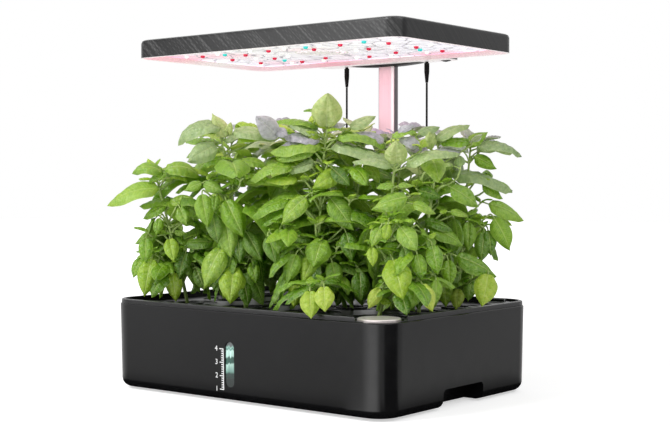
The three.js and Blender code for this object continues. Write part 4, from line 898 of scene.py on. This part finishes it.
def free_place(point):
    """Whether a leaf would be clear of the hard pieces, the lifted cap and the box's sides."""
    x, y, z = point
    side, low = abs(x), z < RIM_TOP + RIM_GAP
    return not (
        side > LIMIT_X
        or abs(y) > LIMIT_Y
        or z > LIMIT_TOP
        or z < DECK_TOP + DECK_GAP
        or (low and (side > TRAY_HALF_X or abs(y) > TRAY_HALF_Y))
        or (low and side < CONSOLE_HALF and y > CONSOLE_FRONT)
        or (side < POLE_HALF and y > POLE_FRONT)
        or (z < CAP_CLEAR and hypot(x - CAP_PLACE[0], y - CAP_PLACE[1]) < CAP_REACH)
        or (abs(side - LEAD_SIDE) < LEAD_ROOM and y > LEAD_FRONT)
    )


class Garden:
    """Keeps what has been planted, so that later leaves stay clear of it."""

    def __init__(self):
        self.centres, self.photo_leaves = [], []

    def hides_photo_leaf(self, point):
        px, py, depth = pixel_of(point)
        for x0, y0, x1, y1, reach, leaf_depth in self.photo_leaves:
            length = max(hypot(x1 - x0, y1 - y0), 1e-6)
            t = min(max(((px - x0) * (x1 - x0) + (py - y0) * (y1 - y0)) / length ** 2, 0), 1)
            away = hypot(px - x0 - t * (x1 - x0), py - y0 - t * (y1 - y0))
            if away < reach and depth < leaf_depth + OVERLAP_DEPTH:
                return True
        return False

    def clear(self, point):
        return free_place(point) and inside_outline(*pixel_of(point)[:2]) and not self.hides_photo_leaf(point)

    def room_for(self, base, tip, gap):
        middle = (base + tip) / 2
        return all(self.clear(base * (1 - t) + tip * t) for t in (0.3, 0.6, 1.0)) and all(
            np.linalg.norm(middle - other) > gap for other in self.centres
        )


garden = Garden()


def way(azimuth, pitch):
    return np.array([cos(azimuth) * cos(pitch), sin(azimuth) * cos(pitch), sin(pitch)])


def share_of(value, low, span):
    """How far a value is along a span that starts at low, held between nothing and one."""
    return min(max((value - low) / span, 0), 1)


def tone_at(rng, point, young):
    """A leaf's age and its share of painted lilac lamp light, from its place in the bed."""
    _x, y, z = point
    age = 0.2 + 0.35 * share_of(z, 0.1, 0.18) + rng.uniform(-0.14, 0.2) + 0.25 * young
    # Painted lilac lamp light, stronger towards the back and the top of the bed.
    painted_lilac = share_of(y, -0.02, 0.06) * share_of(z, 0.225, 0.03) * rng.uniform(0.4, 1.0)
    return min(max(age, 0.05), 0.95), painted_lilac


def fill_leaf(plant, root, azimuth, pitch, length, droop, young=0.0, petiole=0.3):
    """Tries to add a leaf on its stalk at root, turning it aside a little where there is no room."""
    rng = plant.rng
    for turn in TURNS_ASIDE:
        heading = azimuth + turn
        base = root + way(heading, pitch + STALK_RISE) * length * petiole
        tip = base + way(heading, pitch - droop / 2) * length
        if not garden.room_for(base, tip, LEAF_SPACING * min(length / LEAF_NORMAL, 1)):
            continue
        normal = way(heading + pi, pi / 2 - pitch) + UP * 0.3
        normal[2] = abs(normal[2])
        normal[:2] += rng.uniform(-0.2, 0.2), rng.uniform(-0.2, 0.2)
        width = length * LEAF_WIDTH_SHARE * rng.uniform(0.92, 1.08)
        ahead = place_leaf(plant, base, tip, normal, width, droop, tone_at(rng, base, young), FILL_ROLL)
        radii = PETIOLE_RADIUS * 1.15, PETIOLE_RADIUS * 0.8
        add_twig(plant, root, base + ahead * 0.001, way(heading, pitch + 0.8), ahead, radii, 5)
        garden.centres.append((base + tip) / 2)
        return True
    return False


def add_stalk(plant, base, ahead):
    """A leaf's stalk from the stem, with a side shoot where the leaf is far from it."""
    line, rng = plant.line, plant.rng
    level = stem_at(line, base[2])
    gap = np.linalg.norm((base - level)[:2])
    end = base + ahead * 0.001
    thin = PETIOLE_RADIUS * 0.9
    if gap < SHOOT_GAP:
        root = stem_at(line, base[2] - 0.4 * gap)
        add_twig(plant, root, end, unit(base - root) + UP * 0.4, ahead, (PETIOLE_RADIUS * 1.3, thin))
        return
    knee = base - ahead * 0.005 + unit(level - base) * 0.003
    root = stem_at(line, max(knee[2] - 0.85 * gap, DECK_TOP + LEAST_KNEE))
    out = unit(knee - root)
    shoot = add_twig(plant, root, knee, out + UP * 0.35, out, SHOOT_RADII)
    add_twig(plant, knee, end, out, ahead, (SHOOT_RADII[1], thin), 5)
    for turn in range(3):
        heading, pitch = turn * 2.1 + rng.uniform(0, 2), radians(rng.uniform(15, 55))
        fill_leaf(plant, knee, heading, pitch, rng.uniform(0.011, 0.02), radians(40), 0.7, 0.15)
    if gap < LONG_GAP:
        return
    for start in shoot[2:6]:
        turn = rng.uniform(0, pi)
        for half in (0, pi):
            pitch = radians(rng.uniform(-25, 25))
            fill_leaf(plant, start, turn + half, pitch, rng.uniform(0.026, 0.04), radians(50), 0.3, 0.15)


def plant_photo_leaves(plant):
    rng = plant.rng
    for tone_name, rows in PHOTO_LEAF_PIXELS.get(plant.number, {}).items():
        age, painted_lilac = TONES[tone_name]
        for row in rows:
            base, tip, normal, width, droop = photo_leaf(plant.line, row)
            tone = min(max(age + rng.uniform(-0.06, 0.06), 0), 1), painted_lilac
            ahead = place_leaf(plant, base, tip, normal, width, droop, tone, PHOTO_ROLL)
            add_stalk(plant, base, ahead)
            garden.centres.append((base + tip) / 2)
            depth = min(pixel_of(base)[2], pixel_of(tip)[2])
            garden.photo_leaves.append((*row[:4], row[4] / 2 + OVERLAP_PIXELS, depth))


FILL_BOTTOM, PAIR_PITCH = 0.116, 0.0205
# Lengths in metres, pitches and droops in degrees, each at shares of the way up the stem.
FILL_LENGTHS = (0, 0.3, 0.65, 0.88, 1), (0.052, 0.066, 0.070, 0.050, 0.024)
FILL_PITCHES = (0, 0.4, 0.8, 1), (-22, 2, 26, 52)
FILL_DROOPS = (0, 0.5, 1), (62, 72, 35)
SIDE_LEAF_LENGTHS = (0.03, 0.052), (0.014, 0.026)


def plant_fill_leaves(plant):
    """Pairs of leaves up the stem, each pair a quarter turn from the last, with small side shoots."""
    line, rng = plant.line, plant.rng
    height = line[-1][2] - FILL_BOTTOM
    count = int(height / PAIR_PITCH)
    azimuth = rng.uniform(0, pi)
    for node in range(count + 1):
        share = node / count
        root = stem_at(line, FILL_BOTTOM + height * share ** 0.94)
        azimuth += pi / 2 + rng.uniform(-0.3, 0.3)
        length = np.interp(share, *FILL_LENGTHS)
        pitch = radians(np.interp(share, *FILL_PITCHES) + rng.uniform(-9, 9))
        droop = radians(np.interp(share, *FILL_DROOPS) + rng.uniform(-12, 16))
        for heading in (azimuth, azimuth + pi):
            size = length * rng.uniform(0.85, 1.12)
            fill_leaf(plant, root, heading, pitch, size, droop, max(share - 0.7, 0))
            if share > 0.88 or rng.random() < 0.08:
                continue
            shoot_way = way(heading + rng.uniform(-0.5, 0.5), radians(rng.uniform(20, 55)))
            shoot = root + shoot_way * rng.uniform(0.018, 0.042)
            if not garden.clear(shoot):
                continue
            add_twig(plant, root, shoot, shoot_way, UP, TWIG_RADII, 5)
            turn = rng.uniform(0, pi)
            for pair, lengths in enumerate(SIDE_LEAF_LENGTHS):
                for half in (0, pi):
                    size = rng.uniform(*lengths)
                    tilt = radians(rng.uniform(0, 30) + 35 * pair)
                    bend = radians(rng.uniform(40, 80))
                    fill_leaf(plant, shoot, turn + half + pair * pi / 2, tilt, size, bend, 0.5, 0.18)
    for pair in range(2):
        pitch, size = radians(50 + 20 * pair), 0.018 - 0.005 * pair
        for half in (0, pi):
            heading = azimuth + pair * pi / 2 + half
            fill_leaf(plant, line[-1], heading, pitch, size, radians(30), 1.0, 0.12)


def plant_low_leaves(plant):
    """Hanging leaves on short side shoots, which close the gaps low between the plants."""
    rng = plant.rng
    for _ in range(LOW_LEAF_TRIES):
        heading = rng.uniform(0, 2 * pi)
        root = stem_at(plant.line, rng.uniform(*LOW_ROOTS))
        outward = way(heading, radians(rng.uniform(20, 50)))
        knee = root + outward * rng.uniform(0.006, 0.030)
        if not free_place(knee) or garden.hides_photo_leaf(knee):
            continue
        length = min(rng.uniform(*LOW_LENGTHS), knee[2] - DECK_TOP)
        steep = -radians(rng.uniform(40, 72))
        if length > 0.018 and fill_leaf(plant, knee, heading, steep, length, 0.5, petiole=0.1):
            add_twig(plant, root, knee, outward, outward, TWIG_RADII, 4)


# The sponge's outline, as radius and height pairs from its foot to the dimple round the stem.
SPONGE_PROFILE = (
    (0.0094, 0.0475), (0.0108, 0.062), (0.0118, 0.080), (0.0121, 0.0848), (0.0112, 0.0868),
    (0.0085, 0.0874), (0.005, 0.0868), (0.0026, 0.0855), (0.0004, 0.0848),
)
SPONGE_ROUGH, SPONGE_ROUGH_UP = 0.0002, 0.0003


def make_sponge(number, material):
    """The grow sponge: a soft foam plug with a dimple round the stem."""
    rng = random.Random(300 + number)
    vertices, faces = turned(SPONGE_PROFILE, pod_place(number), 20)
    rough = SPONGE_ROUGH, SPONGE_ROUGH, SPONGE_ROUGH_UP
    shaken = [[value + rng.uniform(-r, r) for value, r in zip(vertex, rough)] for vertex in vertices]
    shape = Shape()
    shape.add(shaken, faces)
    shape.build(f"sponge_{number}", material, "base", "foliage")


def make_plants():
    leaf_material, stem_material, sponge_material = leaf_look(), stem_look(), sponge_look()
    plants = []
    for number in PLANT_TOPS:
        plants.append(Plant(number))
        plant_photo_leaves(plants[-1])
    for plant in plants:
        plant_fill_leaves(plant)
        plant_low_leaves(plant)
    for plant in plants:
        number = plant.number
        foliage = plant.leaves.build(f"leaves_{number}", leaf_material, "base", "foliage")
        stalks = plant.stems.build(f"stems_{number}", stem_material, "base", "foliage")
        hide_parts(f"plant_{number}")
        for piece in (foliage, stalks):
            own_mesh(piece)
        make_sponge(number, sponge_material)


make_plants()


# CAD nodes: rounded edges and materials

def add_modifier(node, kind, **settings):
    modifier = node.modifiers.new(kind.lower(), kind)
    for name, value in settings.items():
        setattr(modifier, name, value)


def soften(node, edge, painted_highlight):
    """Joins the node's split vertices, rounds its sharp edges and shades it smooth; where asked, the rounded
    edges take the second material, a painted highlight.
    """
    if "custom_normal" in node.data.attributes:
        node.data.attributes.remove(node.data.attributes["custom_normal"])
    node.data.polygons.foreach_set("use_smooth", [True] * len(node.data.polygons))
    add_modifier(node, "WELD", merge_threshold=0.000002)
    add_modifier(node, "DECIMATE", decimate_type="DISSOLVE", angle_limit=radians(0.5))
    add_modifier(
        node, "BEVEL", width=edge, segments=2, limit_method="ANGLE", angle_limit=radians(32),
        harden_normals=True, use_clamp_overlap=True, material=1 if painted_highlight else -1,
    )
    add_modifier(node, "WEIGHTED_NORMAL", mode="FACE_AREA", weight=100, keep_sharp=True)


EDGE = 0.0004
# Pieces whose rounded edges get a pale grey plastic, a painted highlight along the edge, with the bevel's
# width; the baskets get it too.
PAINTED_HIGHLIGHT_EDGES = {"deck": 0.0008, "fill_cap": 0.0005}
painted_edge_highlight = moulded("painted_highlight_edge", (118, 118, 120), (164, 164, 166), 0.3, 900.0, 0.00005)


def dress(name, material):
    node = nodes[name]
    node.data.materials.clear()
    node.data.materials.append(material)
    painted_highlight = name in PAINTED_HIGHLIGHT_EDGES or name.startswith("basket_")
    if painted_highlight:
        node.data.materials.append(painted_edge_highlight)
    soften(node, PAINTED_HIGHLIGHT_EDGES.get(name, EDGE), painted_highlight)


shell = moulded("tank_shell", (14, 14, 15), (18, 18, 19), 0.2, 2600.0, 0.00003, specular=0.24)
deck_plastic = deck_look()
inner_plastic = moulded("inner_plastic", (26, 26, 28), (40, 40, 42), 0.5, 1500.0, 0.0001)
trim = moulded("trim_plastic", (14, 14, 15), (22, 22, 23), 0.45, 1800.0, 0.0001, specular=0.35)
white_plastic = moulded("white_plastic", (214, 214, 210), (232, 232, 230), 0.45, 1500.0, 0.0001)
hose_silicone = moulded("hose_silicone", (188, 192, 190), (214, 218, 216), 0.35, 600.0, 0.0001)
foot_rubber = moulded("foot_rubber", (20, 20, 20), (32, 32, 32), 0.8, 900.0, 0.0002)
basket_plastic = moulded("basket_plastic", (26, 27, 27), (40, 41, 41), 0.5, 1500.0, 0.0001)
LOOKS = (
    (shell, ("tank_housing", "bay_cover")),
    (deck_plastic, ("deck", "fill_cap")),
    (button_look(), ("control_button",)),
    (circuit_mask(), ("control_board", "driver_board")),
    (gauge_glass(), ("gauge_window",)),
    (white_plastic, ("gauge_float", "pump_impeller")),
    (inner_plastic, ("pump_housing", "pump_filter", "fan_motor")),
    (hose_silicone, ("pump_hose",)),
    (pole_look(), ("pole_sleeve", "pole_middle", "pole_top")),
    (trim, ("pole_bracket", "power_inlet", "fan_rotor", "lamp_switch")),
    (rubber, ("grommet_left", "grommet_right", "plug_left", "plug_right")),
    (carbon_film(), ("lamp_housing", "lamp_rear_housing")),
    (reflector_paint(), ("lamp_reflector",)),
    (board_paint(), ("led_board",)),
    (fan_look(), ("fan_guard",)),
    (foot_rubber, [name for name in nodes if name.startswith("foot_")]),
    (basket_plastic, [name for name in nodes if name.startswith("basket_")]),
)
for material, names in LOOKS:
    for name in names:
        dress(name, material)


# LEDs under the board

BOARD_BOTTOM, LED_FACE, BOARD_MIDDLE_Y = 0.3610, 0.3596, 0.0025
FAN_REACH = 0.0334
LED_RADII = {"red": 0.0025, "blue": 0.0025, "white": 0.0019}
RED_PITCH, RED_SHIFT, RED_ZIGZAG = 0.048, 0.004, (-0.006, 0.011)
BLUE_PLACES = [(-0.0918, -0.0528), (-0.0819, 0.035), (0.0261, -0.058), (0.1041, -0.062), (0.1048, 0.034)]
WHITE_PITCH_X, WHITE_PITCH_Y = 0.047, 0.062


def led_places():
    """Each kind's places on the board, as on the CAD board."""
    reds = [
        ((c - 2.5) * RED_PITCH - RED_SHIFT, (r - 1) * RED_PITCH + RED_ZIGZAG[c % 2])
        for r in range(3)
        for c in range(6)
    ]
    whites = [((c - 3) * WHITE_PITCH_X, (r - 1) * WHITE_PITCH_Y) for r in range(3) for c in range(7)]
    return {"red": reds, "blue": BLUE_PLACES, "white": whites}


def make_leds():
    looks = {
        "red": glowing("led_red", (196, 22, 64), (176, 12, 50), 0.75),
        "blue": glowing("led_blue", (56, 196, 188), (40, 180, 176), 0.7),
        "white": glowing("led_white", (255, 250, 236), (250, 240, 214), 1.0),
    }
    for kind, places in led_places().items():
        radius = LED_RADII[kind]
        turns = np.linspace(0, pi / 2 * 0.98, 6)
        profile = [(radius * cos(turn), LED_FACE - radius * 0.5 * sin(turn)) for turn in turns]
        profile.insert(0, (radius, BOARD_BOTTOM))
        shape = Shape()
        for x, y in places:
            if hypot(x, y) > FAN_REACH:
                shape.add(*turned(profile, (x, y + BOARD_MIDDLE_Y), 12))
        shape.build(f"leds_{kind}", looks[kind], "lamp", "led_board")


make_leds()


# Rings moulded round each planting place

RING_RADII, RING_ROD, RING_STEPS = (0.0215, 0.0255, 0.0295), 0.0007, 64
DISH_FLOOR, RING_CLEARANCE = 0.0891, 0.0262


def ring_free(point):
    """Whether a ring's point is clear of the button and the fill cap."""
    x, y, _z = point
    return all(hypot(x - p[0], y - p[1]) > RING_CLEARANCE for p in (BUTTON_CENTRE, CAP_PLACE))


def make_deck_rings():
    height = DISH_FLOOR - RING_ROD * 0.25
    turns = np.linspace(0, 2 * pi, RING_STEPS + 1)
    shape = Shape()
    for number in PLANT_TOPS:
        x, y, _z = pod_place(number)
        for radius in RING_RADII:
            points = [(x + radius * cos(a), y + radius * sin(a), height) for a in turns]
            free = [ring_free(point) for point in points]
            if not all(free):
                first = max(i for i in range(RING_STEPS) if not free[i] and free[i + 1]) + 1
                order = [(first + i) % RING_STEPS for i in range(RING_STEPS)]
                points = [points[i] for i in order if free[i]]
            shape.add(*tube(points, RING_ROD))
    shape.build("deck_rings", deck_plastic, "base", "deck")


make_deck_rings()


# Level scale beside the window

SCALE_LEFT, SCALE_RIGHT, SHORT_BY = -0.0229, -0.0173, 0.0024
SCALE_LOW, SCALE_HIGH = 0.0133, 0.0543
STROKES, LONG_EVERY, NUMBERS = 19, 6, 4
STROKE_HALF, SPINE_WIDTH = 0.00045, 0.0009
STROKE_RAISED, SPINE_RAISED, SCALE_SUNK = 0.00025, 0.0003, 0.0005
NUMBER_X, NUMBER_SIZE = -0.0272, 0.0076
WALL_DRAFT = 0.02
BAR_FACES = [(0, 2, 3, 1), (4, 5, 7, 6), (0, 1, 5, 4), (2, 6, 7, 3), (0, 4, 6, 2), (1, 3, 7, 5)]


def front_wall_y(height):
    """The tank's front face, which leans in by its draft towards the floor."""
    low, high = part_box("tank_housing")
    return low[1] + (high[2] - height) * WALL_DRAFT


def add_bar(shape, left, right, low, high, raised):
    """A bar of print on the front wall, from low to high and half a stroke past both."""
    ends = (low - STROKE_HALF, front_wall_y(low)), (high + STROKE_HALF, front_wall_y(high))
    depths = -raised, SCALE_SUNK
    shape.add([(x, y + depth, z) for z, y in ends for depth in depths for x in (left, right)], BAR_FACES)


def make_scale():
    """White printed strokes with plain numbers, standing a hair's breadth off the front wall."""
    look = moulded("scale_print", (244, 245, 245), (255, 255, 255), 0.6, 900.0, 0.00005)
    shape = Shape()
    for i, z in enumerate(np.linspace(SCALE_LOW, SCALE_HIGH, STROKES)):
        left = SCALE_LEFT if i % LONG_EVERY == 0 else SCALE_LEFT + SHORT_BY
        add_bar(shape, left, SCALE_RIGHT, z, z, STROKE_RAISED)
    add_bar(shape, SCALE_RIGHT - SPINE_WIDTH, SCALE_RIGHT, SCALE_LOW, SCALE_HIGH, SPINE_RAISED)
    shape.build("level_strokes", look, "base", "window", smooth=False)
    for number, z in enumerate(np.linspace(SCALE_LOW, SCALE_HIGH, NUMBERS), start=1):
        text = bpy.data.curves.new(f"level_number_{number}", "FONT")
        text.body = str(number)
        text.size, text.extrude = NUMBER_SIZE, STROKE_RAISED
        text.align_x = text.align_y = "CENTER"
        text.materials.append(look)
        make_object(text.name, text, "base", (NUMBER_X, front_wall_y(z), z), (pi / 2, 0, 0))


make_scale()


# Floor, world and lights

FLOOR_SEEN, FLOOR_FAR, FLOOR_MIRRORED = 0.56, 0.95, 0.2
FLOOR_HALF, FLOOR_DROP = 6.0, -0.0002
DARK_NEAR, DARK_FAR = 0.015, 0.08
WORLD_LIGHT = 0.36
FRONT_CORNER = (0.157, -0.1055)
CARD_REACH, CARD_STEPS, CARD_HEIGHT = (0.05, 1.4), 9, 0.0003
# Directions in degrees round the front right corner, where each card starts, fades and ends.
DARK_TURNS, PALE_TURNS, PALE_STRENGTH = (-34, 22), (-128, -88, -66, -50), 3.0


def make_sheet(name, corners, faces, material, drop=0.0):
    mesh = bpy.data.meshes.new(name)
    mesh.from_pydata(corners, [], faces)
    mesh.materials.append(material)
    return make_object(name, mesh, place=(0, 0, drop))


def make_floor():
    """A pale floor that the camera sees as white, and that keeps the object's shadow; in gloss it is painted
    dark close to the tank, a painted shade in the tank's reflection.
    """
    look = Look("floor_paint", 0.9, specular=0.1)
    colour = look.ramp(look.noise(3.0), (0.4, (236, 236, 236)), (0.6, (240, 240, 240)))
    rays = look.add("LightPath").outputs
    x, y, _z = look.axes()
    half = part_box("tank_housing")[1]
    gap = look.larger(look.minus(look.size(x), half[0]), look.minus(look.size(y), half[1]))
    glossy = rays["Is Glossy Ray"]
    # Painted shade: close to the tank, gloss sees the floor dark and without glow.
    painted_dark_near_tank = look.times(look.fall(gap, DARK_NEAR, DARK_FAR), glossy)
    look.paint(look.mix(painted_dark_near_tank, colour, (20, 20, 20)))
    seen = look.larger(rays["Is Camera Ray"], rays["Is Transmission Ray"])
    seen = look.times(seen, look.between(gap, 0.3, 1.2, FLOOR_SEEN, FLOOR_FAR))
    mirrored = look.times(glossy, look.between(gap, DARK_NEAR, DARK_FAR, 0.0, FLOOR_MIRRORED))
    look.glow(look.larger(seen, mirrored))
    corners = [(x * FLOOR_HALF, y * FLOOR_HALF, 0) for x, y in ((-1, -1), (1, -1), (1, 1), (-1, 1))]
    make_sheet("floor", corners, [(0, 1, 2, 3)], look.material, FLOOR_DROP)


def make_world():
    """An even world, white to the camera, in gloss and through glass."""
    scene.world = bpy.data.worlds.new("studio")
    look = Nodes(scene.world)
    rays = look.add("LightPath").outputs
    seen = look.larger(rays["Is Camera Ray"], rays["Is Glossy Ray"])
    seen = look.larger(seen, rays["Is Transmission Ray"])
    background = look.tree.nodes["Background"].inputs
    look.fill(background["Color"], (1, 1, 1, 1))
    look.fill(background["Strength"], look.between(seen, 0.0, 1.0, WORLD_LIGHT, 1.0))


def make_card(name, turns, material):
    """A studio card on the floor round the tank's front right corner, seen only in gloss."""
    turns = np.radians(np.linspace(turns[0], turns[-1], CARD_STEPS))
    corners = [
        (FRONT_CORNER[0] + reach * cos(turn), FRONT_CORNER[1] + reach * sin(turn), CARD_HEIGHT)
        for reach in CARD_REACH
        for turn in turns
    ]
    faces = [(i, CARD_STEPS + i, CARD_STEPS + i + 1, i + 1) for i in range(CARD_STEPS - 1)]
    card = make_sheet(name, corners, faces, material)
    card.visible_camera = card.visible_diffuse = card.visible_shadow = False


def card_glow():
    """A white card whose light rises and falls between four directions round the corner."""
    look = Look("white_card", 0.9)
    look.paint(look.patches(look.noise(6.0), (240, 240, 240), (255, 255, 255)))
    x, y, _z = look.axes()
    turn = look.math("ARCTAN2", look.minus(y, FRONT_CORNER[1]), look.minus(x, FRONT_CORNER[0]))
    start, full, fade, end = map(radians, PALE_TURNS)
    glow = look.times(look.between(turn, start, full), look.fall(turn, fade, end))
    look.glow(look.times(glow, PALE_STRENGTH))
    return look.material


def area_light(name, place, target, size, power, colour=(1, 1, 1), body=None, height=None):
    data = bpy.data.lights.new(name, "AREA")
    data.size, data.energy, data.color = size, power, colour
    if height:
        data.shape, data.size_y = "RECTANGLE", height
    turn = (Vector(target) - Vector(place)).to_track_quat("-Z", "Y").to_euler()
    make_object(name, data, body, place=place, turn=turn)


make_floor()
make_world()
black_card = moulded("black_card", (6, 6, 6), (9, 9, 9), 0.9, 300.0, 0.0001, specular=0.1)
make_card("dark_card", DARK_TURNS, black_card)
make_card("pale_card", PALE_TURNS, card_glow())
area_light("key", (-0.7, -1.7, 1.6), (0, 0, 0.15), size=0.9, power=31)
area_light("fill", (1.7, -0.5, 1.6), (0, 0, 0.15), size=1.2, power=16)
area_light("front_box", (-1.2, -1.9, 0.6), (0.1, 0, 0.3), size=0.9, power=8, height=0.8)
glow_from, glow_to = (0, BOARD_MIDDLE_Y, 0.354), (0, BOARD_MIDDLE_Y, 0)
area_light("lamp_glow", glow_from, glow_to, size=0.18, power=0.10, colour=(1.0, 0.62, 0.78), body="lamp")

scene.view_settings.view_transform = "Standard"
